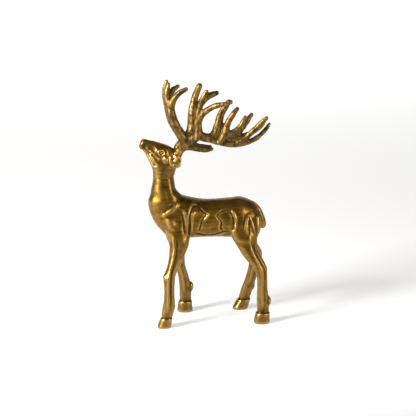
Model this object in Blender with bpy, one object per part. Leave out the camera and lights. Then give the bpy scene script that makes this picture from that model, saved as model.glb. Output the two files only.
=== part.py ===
"""Standing stag statuette in antique brass, cast in pieces and pinned together.

The hollow body is two half shells that meet on the middle plane. The head, the antlers, the ears,
the tail and the four legs are castings of their own, and sleeves, studs, dowels and cross pins
hold them. The stag looks along -X, its left side is -Y, and its soles stand on Z = 0.
All sizes are in millimetres; MM turns them into metres when a mesh is made.
"""
import bmesh
import bpy
import math
import numpy as np
from mathutils import Matrix, Vector

MM = 0.001

# Overall sizes
LEG_LENGTH = 82.0          # sole to the plane where the legs meet the body
LEG_SPACING = 66.4         # fore leg joint to hind leg joint, along the body
TRUNK_DEPTH = 36.0         # belly to back
TRUNK_WIDTH = 34.5         # across the ribs
NECK_RISE = 61.5           # belly line to the collar joint under the head
BEAM_RADIUS = 3.0          # antler beam, half its thickness
ORIGIN_TO_SHOULDER = 28.25   # puts the middle of the whole length over the origin

# Where things sit
BELLY_RISE = 5.0           # belly line above the leg joints
STANCE_TOP = 14.5          # middle plane to the leg's centre at its joint
STANCE_SOLE = 24.0         # and at its sole
COLLAR_OFFSET = -12.6      # collar centre from the shoulder, along X

# Walls, joints and fasteners
CLEARANCE = 0.3            # between pieces that touch
SHELL_WALL = 3.0
TENON_LENGTH = 9.0
TENON_X = 7.6
TENON_Y = 5.6
LEG_PIN_RADIUS = 1.1
SLEEVE_RADIUS = 6.3
SLEEVE_WALL = 1.9
SLEEVE_REACH = 12.0        # how far the sleeve goes into the head, and into the neck
NECK_PIN_RADIUS = 1.1
NECK_PIN_DROP = 3.0        # neck pin below the collar joint
STUD_RADIUS = 1.4
STUD_REACH = 5.5           # stud into the head, and into the antler
EAR_PEG_RADIUS = 1.3
TAIL_PEG_RADIUS = 1.6
DOWEL_RADIUS = 1.2
DOWEL_LENGTH = 8.0
DOWEL_BOSS_RADIUS = 3.6
BOSS_FLOOR = 1.2           # metal past the dowel's end
BOSS_DEPTH = 4.0           # dowel centres below the outer surface, on the seam
PLUG_RADIUS = 5.0
PLUG_THICKNESS = 2.4
FLUSH = 0.4                # fastener ends below the surface they come out of

SHOULDER_X = -ORIGIN_TO_SHOULDER
HIP_X = SHOULDER_X + LEG_SPACING
BELLY_Z = LEG_LENGTH + BELLY_RISE
COLLAR_X = SHOULDER_X + COLLAR_OFFSET
COLLAR_Z = BELLY_Z + NECK_RISE

ROUND = 14                 # sides of pins and bores
BODY_SIDES = 28
LEG_SIDES = 14
HEAD_SIDES = 20
TINE_SIDES = 8

BRASS = (0.47, 0.31, 0.14)
DARK_BRASS = (0.20, 0.13, 0.06)
BARE_BRASS = (0.62, 0.45, 0.20)

# Trunk: share of the leg spacing from the shoulder, middle height and half height as shares of
# the trunk's depth above the belly line, half width as a share of the trunk's width
TRUNK = (
    (-0.100, 0.56, 0.46, 0.45),
    (0.035, 0.58, 0.60, 0.505),
    (0.195, 0.54, 0.565, 0.515),
    (0.350, 0.525, 0.510, 0.500),
    (0.525, 0.508, 0.500, 0.495),
    (0.680, 0.505, 0.512, 0.485),
    (0.833, 0.500, 0.550, 0.495),
    (0.965, 0.486, 0.590, 0.510),
    (1.087, 0.460, 0.555, 0.480),
    (1.190, 0.420, 0.455, 0.405),
    (1.268, 0.375, 0.320, 0.300),
    (1.315, 0.335, 0.150, 0.160),
)
# Neck and chest: share of the way from the collar down to the brisket, X from the shoulder,
# half length, half width
NECK = (
    (0.000, -12.6, 10.7, 9.6),
    (0.130, -12.8, 11.3, 10.4),
    (0.220, -13.0, 13.0, 11.8),
    (0.320, -11.1, 16.0, 13.4),
    (0.420, -7.9, 19.8, 15.0),
    (0.540, -5.1, 22.4, 16.0),
    (0.680, -3.5, 21.8, 16.2),
    (0.810, -2.1, 19.0, 14.6),
    (0.920, -0.7, 14.6, 11.2),
    (1.000, 0.3, 9.6, 7.6),
)
BRISKET_RISE = 0.5         # bottom of that stack above the belly line
# Upper leg masses that belong to the body: height above the joint, X from the joint's centre,
# Y inwards from the joint's centre, half length, half width
FORE_STUMP = (
    (0.0, 0.0, 0.0, 9.3, 6.6),
    (7.0, 1.0, -0.8, 10.2, 7.2),
    (15.0, 2.0, -2.2, 11.4, 7.4),
    (24.0, 2.5, -4.2, 11.6, 7.2),
    (32.0, 2.5, -6.4, 9.6, 6.0),
)
HIND_STUMP = (
    (0.0, 0.0, 0.0, 10.4, 6.8),
    (4.0, -0.6, -0.2, 11.6, 7.1),
    (9.0, -0.8, -0.8, 14.0, 7.7),
    (16.0, -0.6, -2.0, 15.8, 8.0),
    (24.0, 0.0, -4.0, 15.2, 7.8),
    (31.0, 0.0, -6.0, 12.0, 6.6),
)
# Legs: height as a share of the leg, X from the joint's centre, half length, half width
FORE_LEFT_LEG = (
    (1.00, 0.0, 9.3, 6.6),
    (0.91, -1.9, 7.9, 6.1),
    (0.82, -3.9, 6.7, 5.6),
    (0.74, -6.7, 5.8, 5.2),
    (0.65, -9.8, 6.1, 5.0),
    (0.60, -10.9, 5.9, 4.9),
    (0.48, -10.8, 4.7, 4.2),
    (0.39, -10.7, 4.5, 4.0),
    (0.31, -10.7, 5.7, 4.8),
    (0.26, -11.0, 6.3, 5.4),
    (0.21, -12.4, 6.0, 5.2),
    (0.14, -13.8, 5.6, 5.0),
    (0.08, -15.0, 5.9, 5.5),
    (0.00, -14.8, 6.8, 6.2),
)
FORE_RIGHT_LEG = (
    (1.00, 0.0, 9.3, 6.6),
    (0.90, 1.8, 7.9, 6.1),
    (0.78, 3.4, 6.6, 5.5),
    (0.64, 4.7, 5.7, 5.0),
    (0.55, 7.3, 4.7, 4.4),
    (0.45, 9.3, 5.2, 4.4),
    (0.36, 11.6, 6.5, 5.0),
    (0.31, 12.0, 7.0, 5.4),
    (0.21, 11.1, 6.0, 5.0),
    (0.12, 11.3, 6.4, 5.4),
    (0.05, 11.6, 7.8, 6.2),
    (0.00, 12.0, 8.1, 6.4),
)
HIND_LEFT_LEG = (
    (1.00, 0.0, 10.4, 6.8),
    (0.94, 1.4, 9.6, 6.5),
    (0.87, 4.4, 9.1, 6.0),
    (0.78, 9.0, 9.1, 5.6),
    (0.69, 14.1, 7.2, 5.1),
    (0.60, 15.7, 5.7, 4.6),
    (0.52, 15.8, 5.0, 4.3),
    (0.43, 16.1, 5.1, 4.3),
    (0.34, 17.4, 6.4, 4.9),
    (0.28, 18.3, 7.1, 5.4),
    (0.23, 17.7, 6.3, 5.1),
    (0.17, 17.2, 5.8, 5.1),
    (0.09, 16.7, 6.7, 5.7),
    (0.00, 16.1, 8.6, 6.4),
)
HIND_RIGHT_LEG = (
    (1.00, 0.0, 10.4, 6.8),
    (0.94, 4.4, 9.0, 6.4),
    (0.86, 11.0, 7.9, 6.0),
    (0.74, 16.3, 8.0, 5.6),
    (0.60, 16.5, 6.8, 4.8),
    (0.46, 13.4, 5.8, 4.5),
    (0.37, 11.2, 6.0, 4.6),
    (0.29, 9.7, 6.5, 5.2),
    (0.22, 7.2, 5.9, 5.0),
    (0.13, 5.1, 6.8, 5.4),
    (0.03, 2.7, 7.8, 6.2),
    (0.00, 1.8, 7.8, 6.4),
)
# Upper throat: height above the collar, X from the collar's centre, half length, half width
THROAT = (
    (0.0, 0.0, 10.6, 9.4),
    (4.0, 0.3, 10.6, 9.2),
    (9.0, 0.5, 11.2, 8.9),
    (14.0, 1.3, 13.6, 8.8),
    (19.5, 0.6, 15.6, 8.4),
    (24.0, 1.0, 13.0, 7.6),
)
# Face: X and Z from the collar's centre to the middle of each section, half height, half width
FACE = (
    (-22.7, 32.4, 1.9, 2.6),
    (-21.2, 32.9, 4.3, 4.1),
    (-18.0, 31.5, 6.9, 5.2),
    (-13.4, 28.2, 9.4, 6.2),
    (-7.4, 24.2, 9.8, 7.6),
    (-1.2, 21.2, 9.8, 8.9),
    (4.8, 20.0, 9.4, 9.2),
    (10.8, 19.6, 9.0, 8.4),
    (15.0, 19.2, 6.0, 6.2),
    (16.5, 19.0, 2.4, 2.8),
)
# Pedicle: where its axis starts and where it points, from the collar's centre; X, outwards, up
PEDICLE_ROOT = (13.6, 5.4, 20.4)
PEDICLE_TOP = (15.9, 6.7, 27.4)
PEDICLE_STUB = 5.4         # length of the stub that belongs to the head
PEDICLE_RADIUS = 4.0
# Antler tubes: X, outwards, up from the collar's centre, and the radius as a share of the beam's
BEAM = (
    (18.3, 8.0, 31.7, 1.40), (22.4, 10.5, 36.6, 1.60), (27.1, 12.5, 40.3, 1.47),
    (32.3, 14.0, 43.0, 1.33), (37.6, 15.0, 42.9, 1.13), (44.4, 16.0, 40.0, 1.07),
    (52.1, 17.0, 37.5, 1.00), (61.0, 17.5, 35.5, 1.00), (69.9, 17.5, 35.4, 1.00),
    (78.9, 17.5, 37.0, 1.00), (86.9, 17.0, 40.1, 1.00), (94.0, 16.0, 44.5, 0.93),
    (99.1, 15.5, 49.3, 0.77), (101.6, 15.0, 51.8, 0.50),
)
BROW = (
    (20.6, 10.4, 36.0, 1.50), (15.8, 12.0, 45.1, 1.43), (10.9, 12.5, 52.8, 1.40),
    (7.4, 12.0, 61.7, 1.33), (5.7, 11.5, 69.5, 1.30), (5.0, 11.3, 73.4, 1.20),
)
BROW_FRONT = ((4.9, 11.2, 71.0, 0.93), (3.1, 9.5, 81.0, 0.77), (3.6, 8.5, 88.7, 0.67),
              (5.7, 8.0, 95.4, 0.40))
BROW_BACK = ((5.5, 11.8, 71.5, 1.00), (8.4, 14.0, 80.7, 0.90), (12.7, 15.0, 85.7, 0.77),
             (18.7, 16.0, 89.8, 0.43))
TRUNK_TINE = ((32.0, 14.0, 42.0, 1.27), (32.1, 14.5, 51.5, 1.13), (32.0, 15.0, 59.6, 1.07),
              (32.6, 16.0, 67.6, 0.95), (34.2, 17.3, 74.7, 0.77), (36.3, 18.7, 81.8, 0.67),
              (39.1, 20.0, 87.8, 0.43))
REACHING_TINE = ((32.6, 15.6, 60.5, 0.90), (37.0, 19.0, 67.1, 0.83), (42.3, 23.0, 71.8, 0.80),
                 (48.5, 27.0, 75.5, 0.73), (57.2, 31.0, 78.0, 0.47))
FORKED_TINE = ((54.3, 17.1, 36.6, 1.00), (56.9, 18.0, 43.5, 1.07), (58.4, 19.0, 48.2, 0.97),
               (59.4, 19.5, 53.7, 0.83), (61.4, 20.5, 59.3, 0.77), (65.6, 21.5, 65.3, 0.73),
               (69.5, 22.0, 70.0, 0.47))
FORK_BRANCH = ((57.9, 18.8, 47.0, 0.80), (63.7, 19.0, 47.2, 0.67), (68.1, 19.0, 48.8, 0.63),
               (72.3, 19.0, 52.2, 0.63), (75.0, 19.0, 57.6, 0.60), (76.8, 19.0, 61.0, 0.40))
END_TINE = ((74.4, 17.4, 36.4, 0.87), (80.1, 18.5, 42.9, 0.87), (85.3, 20.0, 48.1, 0.87),
            (91.6, 22.0, 55.2, 0.53))
LOW_TINE = ((21.6, 9.4, 34.8, 1.20), (28.0, 7.0, 30.9, 1.00), (35.1, 5.6, 29.2, 0.90),
            (41.1, 5.2, 28.5, 0.83), (46.3, 5.2, 29.3, 0.50))
# Ear: from the collar's centre; X, outwards, up, half thickness, half height
EAR = ((4.2, 7.6, 20.6, 1.4, 3.0), (7.0, 10.2, 19.6, 2.2, 4.8), (10.6, 12.2, 17.8, 2.0, 5.2),
       (13.8, 13.2, 15.6, 1.5, 3.9), (15.8, 13.4, 14.0, 0.8, 1.8))
EAR_PEG_FROM = (8.0, 11.0, 19.0)
EAR_PEG_TO = (3.6, 4.6, 19.6)
# Tail: X from the hip, height above the belly line, half thickness, half width
TAIL = ((11.0, 30.0, 2.6, 3.0), (15.2, 25.6, 3.4, 4.0), (18.4, 19.0, 3.5, 4.6),
        (19.6, 12.6, 3.5, 4.6), (19.8, 7.0, 3.0, 3.8), (19.6, 4.6, 1.6, 2.0))
TAIL_PEG_RISE = 22.5
TAIL_PEG_REACH = 7.0

for old in list(bpy.data.objects):
    bpy.data.objects.remove(old)

stag = bpy.data.objects.new("stag_frame", None)
bpy.context.scene.collection.objects.link(stag)


# ---- surfaces ------------------------------------------------------------------------------

def eased(rows, steps):
    """Rows with Catmull-Rom rows between them, so a few stations give a smooth run."""
    rows = np.array(rows, float)
    ends = np.vstack([2 * rows[0] - rows[1], rows, 2 * rows[-1] - rows[-2]])
    out = []
    for i in range(len(rows) - 1):
        a, b, c, d = ends[i:i + 4]
        for t in np.arange(steps) / steps:
            out.append(0.5 * (2 * b + (c - a) * t + (2 * a - 5 * b + 4 * c - d) * t ** 2
                              + (3 * b - a - 3 * c + d) * t ** 3))
    out.append(rows[-1])
    return np.array(out)


def mesh_object(name, rings):
    """Closed skin over a list of rings of points, with a flat face at each end."""
    bm = bmesh.new()
    loops = [[bm.verts.new(Vector(point) * MM) for point in ring] for ring in rings]
    for low, high in zip(loops, loops[1:]):
        for i in range(len(low)):
            j = (i + 1) % len(low)
            bm.faces.new((low[i], low[j], high[j], high[i]))
    bm.faces.new(list(reversed(loops[0])))
    bm.faces.new(loops[-1])
    bmesh.ops.recalc_face_normals(bm, faces=bm.faces)
    mesh = bpy.data.meshes.new(name)
    bm.to_mesh(mesh)
    bm.free()
    mesh.shade_smooth()
    mesh.set_sharp_from_angle(angle=math.radians(40))
    made = bpy.data.objects.new(name, mesh)
    bpy.context.scene.collection.objects.link(made)
    made.parent = stag
    return made


def oval(centre, across, up, half_across, half_up, sides):
    """Ring of points on an ellipse, in the plane of the two directions."""
    turn = np.linspace(0, 2 * math.pi, sides, endpoint=False)[:, None]
    return centre + np.cos(turn) * half_across * across + np.sin(turn) * half_up * up


def level_stack(name, rows, sides, steps=1, grow=0.0):
    """Solid of level ovals; rows hold Z, X, Y, half length along X, half width along Y."""
    rows = grown(eased(rows, steps), grow)
    x_axis, y_axis = np.eye(3)[0], np.eye(3)[1]
    return mesh_object(name, [oval(np.array((x, y, z)), x_axis, y_axis, a, b, sides)
                              for z, x, y, a, b in rows])


def upright_stack(name, rows, sides, steps=1, grow=0.0):
    """Solid of upright ovals along X; rows hold X, Y, Z, half width along Y, half height."""
    rows = grown(eased(rows, steps), grow)
    y_axis, z_axis = np.eye(3)[1], np.eye(3)[2]
    return mesh_object(name, [oval(np.array((x, y, z)), y_axis, z_axis, a, b, sides)
                              for x, y, z, a, b in rows])


def grown(rows, grow):
    """Stack rows with every half size and the stack's length grown by the same amount."""
    rows = rows.copy()
    middle = (rows[0, 0] + rows[-1, 0]) / 2
    half = abs(rows[-1, 0] - rows[0, 0]) / 2
    rows[:, 0] = middle + (rows[:, 0] - middle) * (half + grow) / half
    rows[:, 3:] = np.maximum(rows[:, 3:] + grow, 0.6)
    return rows


def tube(name, rows, sides, steps=1, flat=1.0):
    """Round bar along a path; rows hold X, Y, Z and radius, flat narrows it across the path."""
    rows = eased(rows, steps)
    path = rows[:, :3]
    along = np.gradient(path, axis=0)
    along /= np.linalg.norm(along, axis=1)[:, None]
    rings = []
    across = np.cross(along[0], (0.31, 0.87, 0.39))
    for centre, ahead, radius in zip(path, along, rows[:, 3]):
        across = across - ahead * (across @ ahead)
        across /= np.linalg.norm(across)
        rings.append(oval(centre, across, np.cross(ahead, across), radius, radius * flat, sides))
    return mesh_object(name, rings)


def rod(name, start, end, radius, sides=ROUND):
    """Straight pin or bore from one point to another."""
    start, end = np.array(start, float), np.array(end, float)
    return tube(name, [(*start, radius), (*((start + end) / 2), radius), (*end, radius)], sides)


def block(name, low, high):
    """Box between two corners."""
    corners = [(low[0], low[1]), (high[0], low[1]), (high[0], high[1]), (low[0], high[1])]
    return mesh_object(name, [[(x, y, z) for x, y in corners] for z in (low[2], high[2])])


# ---- joining and cutting -------------------------------------------------------------------

def combine(piece, operation, tools, solver="EXACT"):
    """Add one Boolean per tool and put the tools out of sight."""
    for tool in tools:
        step = piece.modifiers.new(operation.lower(), "BOOLEAN")
        step.operation = operation
        step.solver = solver
        step.object = tool
        tool.hide_render = True
        tool.hide_viewport = False
        tool.display_type = "WIRE"
    return piece


def join(piece, *tools):
    return combine(piece, "UNION", tools)


def cut(piece, *tools):
    return combine(piece, "DIFFERENCE", tools)


def finish(piece, colour, roughness):
    """Give the piece its own metal."""
    metal = bpy.data.materials.new(piece.name + "_metal")
    metal.use_nodes = True
    shader = metal.node_tree.nodes["Principled BSDF"]
    shader.inputs["Base Color"].default_value = (*colour, 1)
    shader.inputs["Roughness"].default_value = roughness
    shader.inputs["Metallic"].default_value = 1.0
    piece.data.materials.append(metal)
    return piece


# ---- places that several pieces share ------------------------------------------------------

LEFT, RIGHT = -1, 1
SIDES = {"left": LEFT, "right": RIGHT}


def from_collar(point, side):
    """Point given as X, outwards, up from the collar's centre, on one side of the stag."""
    return np.array((COLLAR_X + point[0], side * point[1], COLLAR_Z + point[2]))


def leg_joint(end, side):
    """Centre of a leg's joint plane."""
    return np.array((SHOULDER_X if end == "fore" else HIP_X, side * STANCE_TOP, LEG_LENGTH))


def leg_pin_ends(end, side, inner, outer):
    """Cross pin's two ends, half way up the tenon, between two distances from its centre."""
    x, y, z = leg_joint(end, side)
    height = z + TENON_LENGTH / 2
    return (x, y - side * inner, height), (x, y + side * outer, height)


def pedicle(side, start, end):
    """Two points on a pedicle's axis, at these distances from its root."""
    root, top = from_collar(PEDICLE_ROOT, side), from_collar(PEDICLE_TOP, side)
    axis = (top - root) / np.linalg.norm(top - root)
    return root + axis * start, root + axis * end


def trunk_rows():
    return [(SHOULDER_X + share * LEG_SPACING, 0.0, BELLY_Z + middle * TRUNK_DEPTH,
             width * TRUNK_WIDTH, half * TRUNK_DEPTH) for share, middle, half, width in TRUNK]


def neck_rows(first=0):
    drop = NECK_RISE - BRISKET_RISE
    return [(COLLAR_Z - share * drop, SHOULDER_X + x, 0.0, a, b) for share, x, a, b in NECK[first:]]


def stump(name, end, side):
    """Upper leg mass that is cast with the body."""
    x, y, z = leg_joint(end, side)
    rows = FORE_STUMP if end == "fore" else HIND_STUMP
    return level_stack(name, [(z + up, x + dx, y + side * dy, a, b) for up, dx, dy, a, b in rows],
                       LEG_SIDES, 2)


def trunk_section(x):
    """Middle height and half height of the trunk at a place along X."""
    rows = eased(trunk_rows(), 4)
    return np.interp(x, rows[:, 0], rows[:, 2]), np.interp(x, rows[:, 0], rows[:, 4])


def back_height(x):
    middle, half = trunk_section(x)
    return middle + half


def belly_height(x):
    middle, half = trunk_section(x)
    return middle - half


PLUG_X = SHOULDER_X + 0.52 * LEG_SPACING
CHEST_FRONT_X = SHOULDER_X + NECK[5][1] - NECK[5][2]
CHEST_Z = COLLAR_Z - NECK[5][0] * (NECK_RISE - BRISKET_RISE)


def dowel_places():
    """X and Z of the dowels across the seam: withers, croup, belly and breast."""
    withers, croup, belly = (SHOULDER_X + share * LEG_SPACING for share in (0.27, 0.87, 0.74))
    return {"withers": (withers, back_height(withers) - BOSS_DEPTH),
            "croup": (croup, back_height(croup) - BOSS_DEPTH),
            "belly": (belly, belly_height(belly) + BOSS_DEPTH),
            "breast": (CHEST_FRONT_X + BOSS_DEPTH, CHEST_Z)}


# ---- pieces --------------------------------------------------------------------------------

def body_shell(word, side):
    """Half of the hollow body: trunk, neck and two stumps, open on the middle plane."""
    shell = upright_stack("body_shell_" + word, trunk_rows(), BODY_SIDES, 2)
    join(shell, level_stack("neck_form_" + word, neck_rows(), BODY_SIDES, 2))
    join(shell, *[stump(f"{end}_stump_{word}", end, side) for end in ("fore", "hind")])
    below_sleeve = 3
    core = upright_stack("trunk_core_" + word, trunk_rows(), BODY_SIDES, 1, -SHELL_WALL)
    join(core, level_stack("neck_core_" + word, neck_rows(below_sleeve), BODY_SIDES, 1,
                           -SHELL_WALL))
    for place, (x, z) in dowel_places().items():
        reach = DOWEL_LENGTH / 2 + CLEARANCE + BOSS_FLOOR
        cut(core, rod(f"{place}_boss_{word}", (x, -reach, z), (x, reach, z), DOWEL_BOSS_RADIUS))
    cut(shell, core)
    for place, (x, z) in dowel_places().items():
        reach = DOWEL_LENGTH / 2 + CLEARANCE
        cut(shell, rod(f"{place}_bore_{word}", (x, -reach, z), (x, reach, z),
                       DOWEL_RADIUS + CLEARANCE))
    bore_depth = SLEEVE_REACH + 12
    cut(shell, rod("sleeve_bore_" + word, (COLLAR_X, 0, COLLAR_Z - bore_depth),
                   (COLLAR_X, 0, COLLAR_Z + 5), SLEEVE_RADIUS + CLEARANCE, 2 * ROUND))
    pin_z = COLLAR_Z - NECK_PIN_DROP
    cut(shell, rod("neck_pin_bore_" + word, (COLLAR_X, -30, pin_z), (COLLAR_X, 30, pin_z),
                   NECK_PIN_RADIUS + CLEARANCE))
    for end in ("fore", "hind"):
        x, y, z = leg_joint(end, side)
        half_x = TENON_X / 2 + CLEARANCE
        half_y = TENON_Y / 2 + CLEARANCE
        cut(shell, block(f"{end}_socket_{word}", (x - half_x, y - half_y, z - 5),
                         (x + half_x, y + half_y, z + TENON_LENGTH + CLEARANCE)))
        cut(shell, rod(f"{end}_pin_bore_{word}", *leg_pin_ends(end, side, 7.0, 20),
                       LEG_PIN_RADIUS + CLEARANCE))
    belly = belly_height(PLUG_X)
    cut(shell, rod("plug_hole_" + word, (PLUG_X, 0, belly - 10), (PLUG_X, 0, belly + 8),
                   PLUG_RADIUS + CLEARANCE, 2 * ROUND))
    tail_z = BELLY_Z + TAIL_PEG_RISE
    cut(shell, rod("tail_bore_" + word, (HIP_X + 40, 0, tail_z),
                   (tail_seat_x() - TAIL_PEG_REACH - CLEARANCE, 0, tail_z),
                   TAIL_PEG_RADIUS + CLEARANCE))
    # the exact solver leaves the seam face open at some wall thicknesses
    gap = CLEARANCE / 2
    keep_y = sorted((side * gap, side * 80))
    combine(shell, "INTERSECT", [block("side_room_" + word, (-200, keep_y[0], -20),
                                       (200, keep_y[1], 400))], "MANIFOLD")
    return finish(shell, BRASS, 0.36)


def tail_seat_x():
    """X where the rump's surface meets the tail peg."""
    rows = eased(trunk_rows(), 6)
    height = BELLY_Z + TAIL_PEG_RISE
    top = rows[:, 2] + rows[:, 4]
    return float(np.interp(-height, -top[rows[:, 0] > HIP_X], rows[rows[:, 0] > HIP_X, 0]))


def face(name, grow=0.0):
    rows = [(COLLAR_X + x, 0.0, COLLAR_Z + z, wide, high) for x, z, high, wide in FACE]
    return upright_stack(name, rows, HEAD_SIDES, 2, grow)


def throat(name, grow=0.0):
    rows = [(COLLAR_Z + up, COLLAR_X + x, 0.0, a, b) for up, x, a, b in THROAT]
    return level_stack(name, rows, HEAD_SIDES, 2, grow)


def head():
    """Head and throat in one casting, with stubs for the antlers and a socket for the sleeve."""
    piece = face("head")
    join(piece, throat("throat_form"))
    for word, side in SIDES.items():
        join(piece, rod("stub_" + word, *pedicle(side, -4.0, PEDICLE_STUB), PEDICLE_RADIUS))
    gap_room = block("collar_gap", (COLLAR_X - 40, -40, COLLAR_Z - 20),
                     (COLLAR_X + 40, 40, COLLAR_Z + CLEARANCE))
    cut(piece, gap_room)
    cut(piece, rod("sleeve_socket", (COLLAR_X, 0, COLLAR_Z - 5),
                   (COLLAR_X, 0, COLLAR_Z + SLEEVE_REACH + CLEARANCE),
                   SLEEVE_RADIUS + CLEARANCE, 2 * ROUND))
    for word, side in SIDES.items():
        cut(piece, rod("stud_socket_" + word,
                       *pedicle(side, PEDICLE_STUB - STUD_REACH - CLEARANCE, PEDICLE_STUB + 6),
                       STUD_RADIUS + CLEARANCE))
        start, end = from_collar(EAR_PEG_FROM, side), from_collar(EAR_PEG_TO, side)
        deeper = end + (end - start) / np.linalg.norm(end - start) * CLEARANCE
        cut(piece, rod("ear_socket_" + word, start, deeper, EAR_PEG_RADIUS + CLEARANCE))
    return finish(piece, BRASS, 0.30)


def neck_sleeve():
    """Plain tube that joins the neck and the head, pierced by the neck pin."""
    low, high = COLLAR_Z - SLEEVE_REACH, COLLAR_Z + SLEEVE_REACH
    piece = rod("neck_sleeve", (COLLAR_X, 0, low), (COLLAR_X, 0, high), SLEEVE_RADIUS, 2 * ROUND)
    pin_z = COLLAR_Z - NECK_PIN_DROP
    cut(piece,
        rod("sleeve_hole", (COLLAR_X, 0, low - 5), (COLLAR_X, 0, high + 5),
            SLEEVE_RADIUS - SLEEVE_WALL, 2 * ROUND),
        rod("sleeve_pin_bore", (COLLAR_X, -20, pin_z), (COLLAR_X, 20, pin_z),
            NECK_PIN_RADIUS + CLEARANCE))
    return finish(piece, BARE_BRASS, 0.35)


def neck_pin():
    z = COLLAR_Z - NECK_PIN_DROP
    half = NECK[0][3] - FLUSH
    return finish(rod("neck_pin", (COLLAR_X, -half, z), (COLLAR_X, half, z), NECK_PIN_RADIUS),
                  BARE_BRASS, 0.25)


def antler(word, side):
    """Beam and tines of one antler, with a flat foot on the head's stub."""
    foot, knee = pedicle(side, PEDICLE_STUB + CLEARANCE, PEDICLE_STUB + 3.0)
    share = PEDICLE_RADIUS / BEAM_RADIUS

    def bar(part, rows, steps=1):
        placed = [(*from_collar(row, side), row[3] * BEAM_RADIUS) for row in rows]
        return tube(f"{part}_{word}", placed, TINE_SIDES, steps)

    placed = [(*foot, PEDICLE_RADIUS), (*knee, PEDICLE_RADIUS)]
    placed += [(*from_collar(row, side), row[3] * BEAM_RADIUS) for row in BEAM]
    piece = tube("antler_" + word, placed, TINE_SIDES)
    join(piece, bar("brow", BROW), bar("brow_front", BROW_FRONT), bar("brow_back", BROW_BACK),
         bar("trunk_tine", TRUNK_TINE), bar("reaching_tine", REACHING_TINE),
         bar("forked_tine", FORKED_TINE), bar("fork_branch", FORK_BRANCH),
         bar("end_tine", END_TINE), bar("low_tine", LOW_TINE))
    cut(piece, rod("antler_bore_" + word,
                   *pedicle(side, PEDICLE_STUB - 4, PEDICLE_STUB + STUD_REACH + CLEARANCE),
                   STUD_RADIUS + CLEARANCE))
    return finish(piece, DARK_BRASS, 0.5)


def antler_stud(word, side):
    ends = pedicle(side, PEDICLE_STUB - STUD_REACH, PEDICLE_STUB + STUD_REACH)
    return finish(rod("antler_stud_" + word, *ends, STUD_RADIUS), BARE_BRASS, 0.3)


def ear(word, side):
    """Leaf of an ear with a round peg, its base cut to the head's shape."""
    rings = []
    rows = eased(EAR, 2)
    lean = np.array((0.55, 0.83 * side, 0.0))
    for x, out, up, thick, tall in rows:
        centre = from_collar((x, out, up), side)
        rings.append(oval(centre, np.cross(lean, (0, 0, 1)), np.array((0.0, 0.0, 1.0)),
                          thick, tall, 12))
    piece = mesh_object("ear_" + word, rings)
    cut(piece, face("face_room_" + word, CLEARANCE), throat("throat_room_" + word, CLEARANCE))
    join(piece, rod("ear_peg_" + word, from_collar(EAR_PEG_FROM, side),
                    from_collar(EAR_PEG_TO, side), EAR_PEG_RADIUS, 10))
    return finish(piece, BRASS, 0.36)


def tail():
    """Short hanging tail, its root cut to the rump's shape, with a peg across the seam."""
    y_axis = np.eye(3)[1]
    rows = eased(TAIL, 2)
    centres = np.array([(HIP_X + x, 0.0, BELLY_Z + up) for x, up, _, _ in rows])
    ahead = np.gradient(centres, axis=0)
    ahead /= np.linalg.norm(ahead, axis=1)[:, None]
    rings = [oval(c, y_axis, np.cross(a, y_axis), wide, thick, LEG_SIDES)
             for c, a, (_, _, thick, wide) in zip(centres, ahead, rows)]
    piece = mesh_object("tail", rings)
    cut(piece, upright_stack("rump_room", trunk_rows(), BODY_SIDES, 2, CLEARANCE))
    z = BELLY_Z + TAIL_PEG_RISE
    seat = tail_seat_x()
    join(piece, rod("tail_peg", (seat - TAIL_PEG_REACH, 0, z), (seat + 2.2, 0, z),
                    TAIL_PEG_RADIUS))
    return finish(piece, BRASS, 0.4)


def leg(word, side, end, rows):
    """Leg down to its flat sole, with a square tenon up into the body."""
    x, y, z = leg_joint(end, side)
    top = z - CLEARANCE
    stations = [(share * top, x + dx, side * (STANCE_SOLE + share ** 2 * (STANCE_TOP - STANCE_SOLE)),
                 a, b) for share, dx, a, b in rows]
    piece = level_stack(f"leg_{end}_{word}", stations, LEG_SIDES)
    join(piece, block(f"{end}_tenon_{word}", (x - TENON_X / 2, y - TENON_Y / 2, top - 4),
                      (x + TENON_X / 2, y + TENON_Y / 2, z + TENON_LENGTH)))
    cut(piece, rod(f"{end}_tenon_bore_{word}", *leg_pin_ends(end, side, 12, 12),
                   LEG_PIN_RADIUS + CLEARANCE))
    return finish(piece, BRASS, 0.34)


def leg_pin(word, side, end):
    rows = FORE_STUMP if end == "fore" else HIND_STUMP
    outer = np.interp(TENON_LENGTH / 2, [row[0] for row in rows], [row[2] + row[4] for row in rows])
    inner = TENON_Y / 2 + 3.0
    return finish(rod(f"pin_{end}_{word}", *leg_pin_ends(end, side, inner, outer - FLUSH),
                      LEG_PIN_RADIUS), BARE_BRASS, 0.25)


def shell_dowel(place, x, z):
    half = DOWEL_LENGTH / 2
    return finish(rod("dowel_" + place, (x, -half, z), (x, half, z), DOWEL_RADIUS), BARE_BRASS, 0.4)


def belly_plug():
    """Screwed plug in the hole that the casting core came out of, with a driver slot."""
    low = belly_height(PLUG_X) + FLUSH + 0.5
    piece = rod("belly_plug", (PLUG_X, 0, low), (PLUG_X, 0, low + PLUG_THICKNESS), PLUG_RADIUS,
                2 * ROUND)
    cut(piece, block("plug_slot", (PLUG_X - 10, -0.6, low - 1), (PLUG_X + 10, 0.6, low + 0.9)))
    return finish(piece, BARE_BRASS, 0.4)


LEG_ROWS = {("fore", "left"): FORE_LEFT_LEG, ("fore", "right"): FORE_RIGHT_LEG,
            ("hind", "left"): HIND_LEFT_LEG, ("hind", "right"): HIND_RIGHT_LEG}

for word, side in SIDES.items():
    body_shell(word, side)
    antler(word, side)
    antler_stud(word, side)
    ear(word, side)
for (end, word), rows in LEG_ROWS.items():
    leg(word, SIDES[word], end, rows)
    leg_pin(word, SIDES[word], end)
for place, (x, z) in dowel_places().items():
    shell_dowel(place, x, z)
head()
neck_sleeve()
neck_pin()
tail()
belly_plug()
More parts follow.
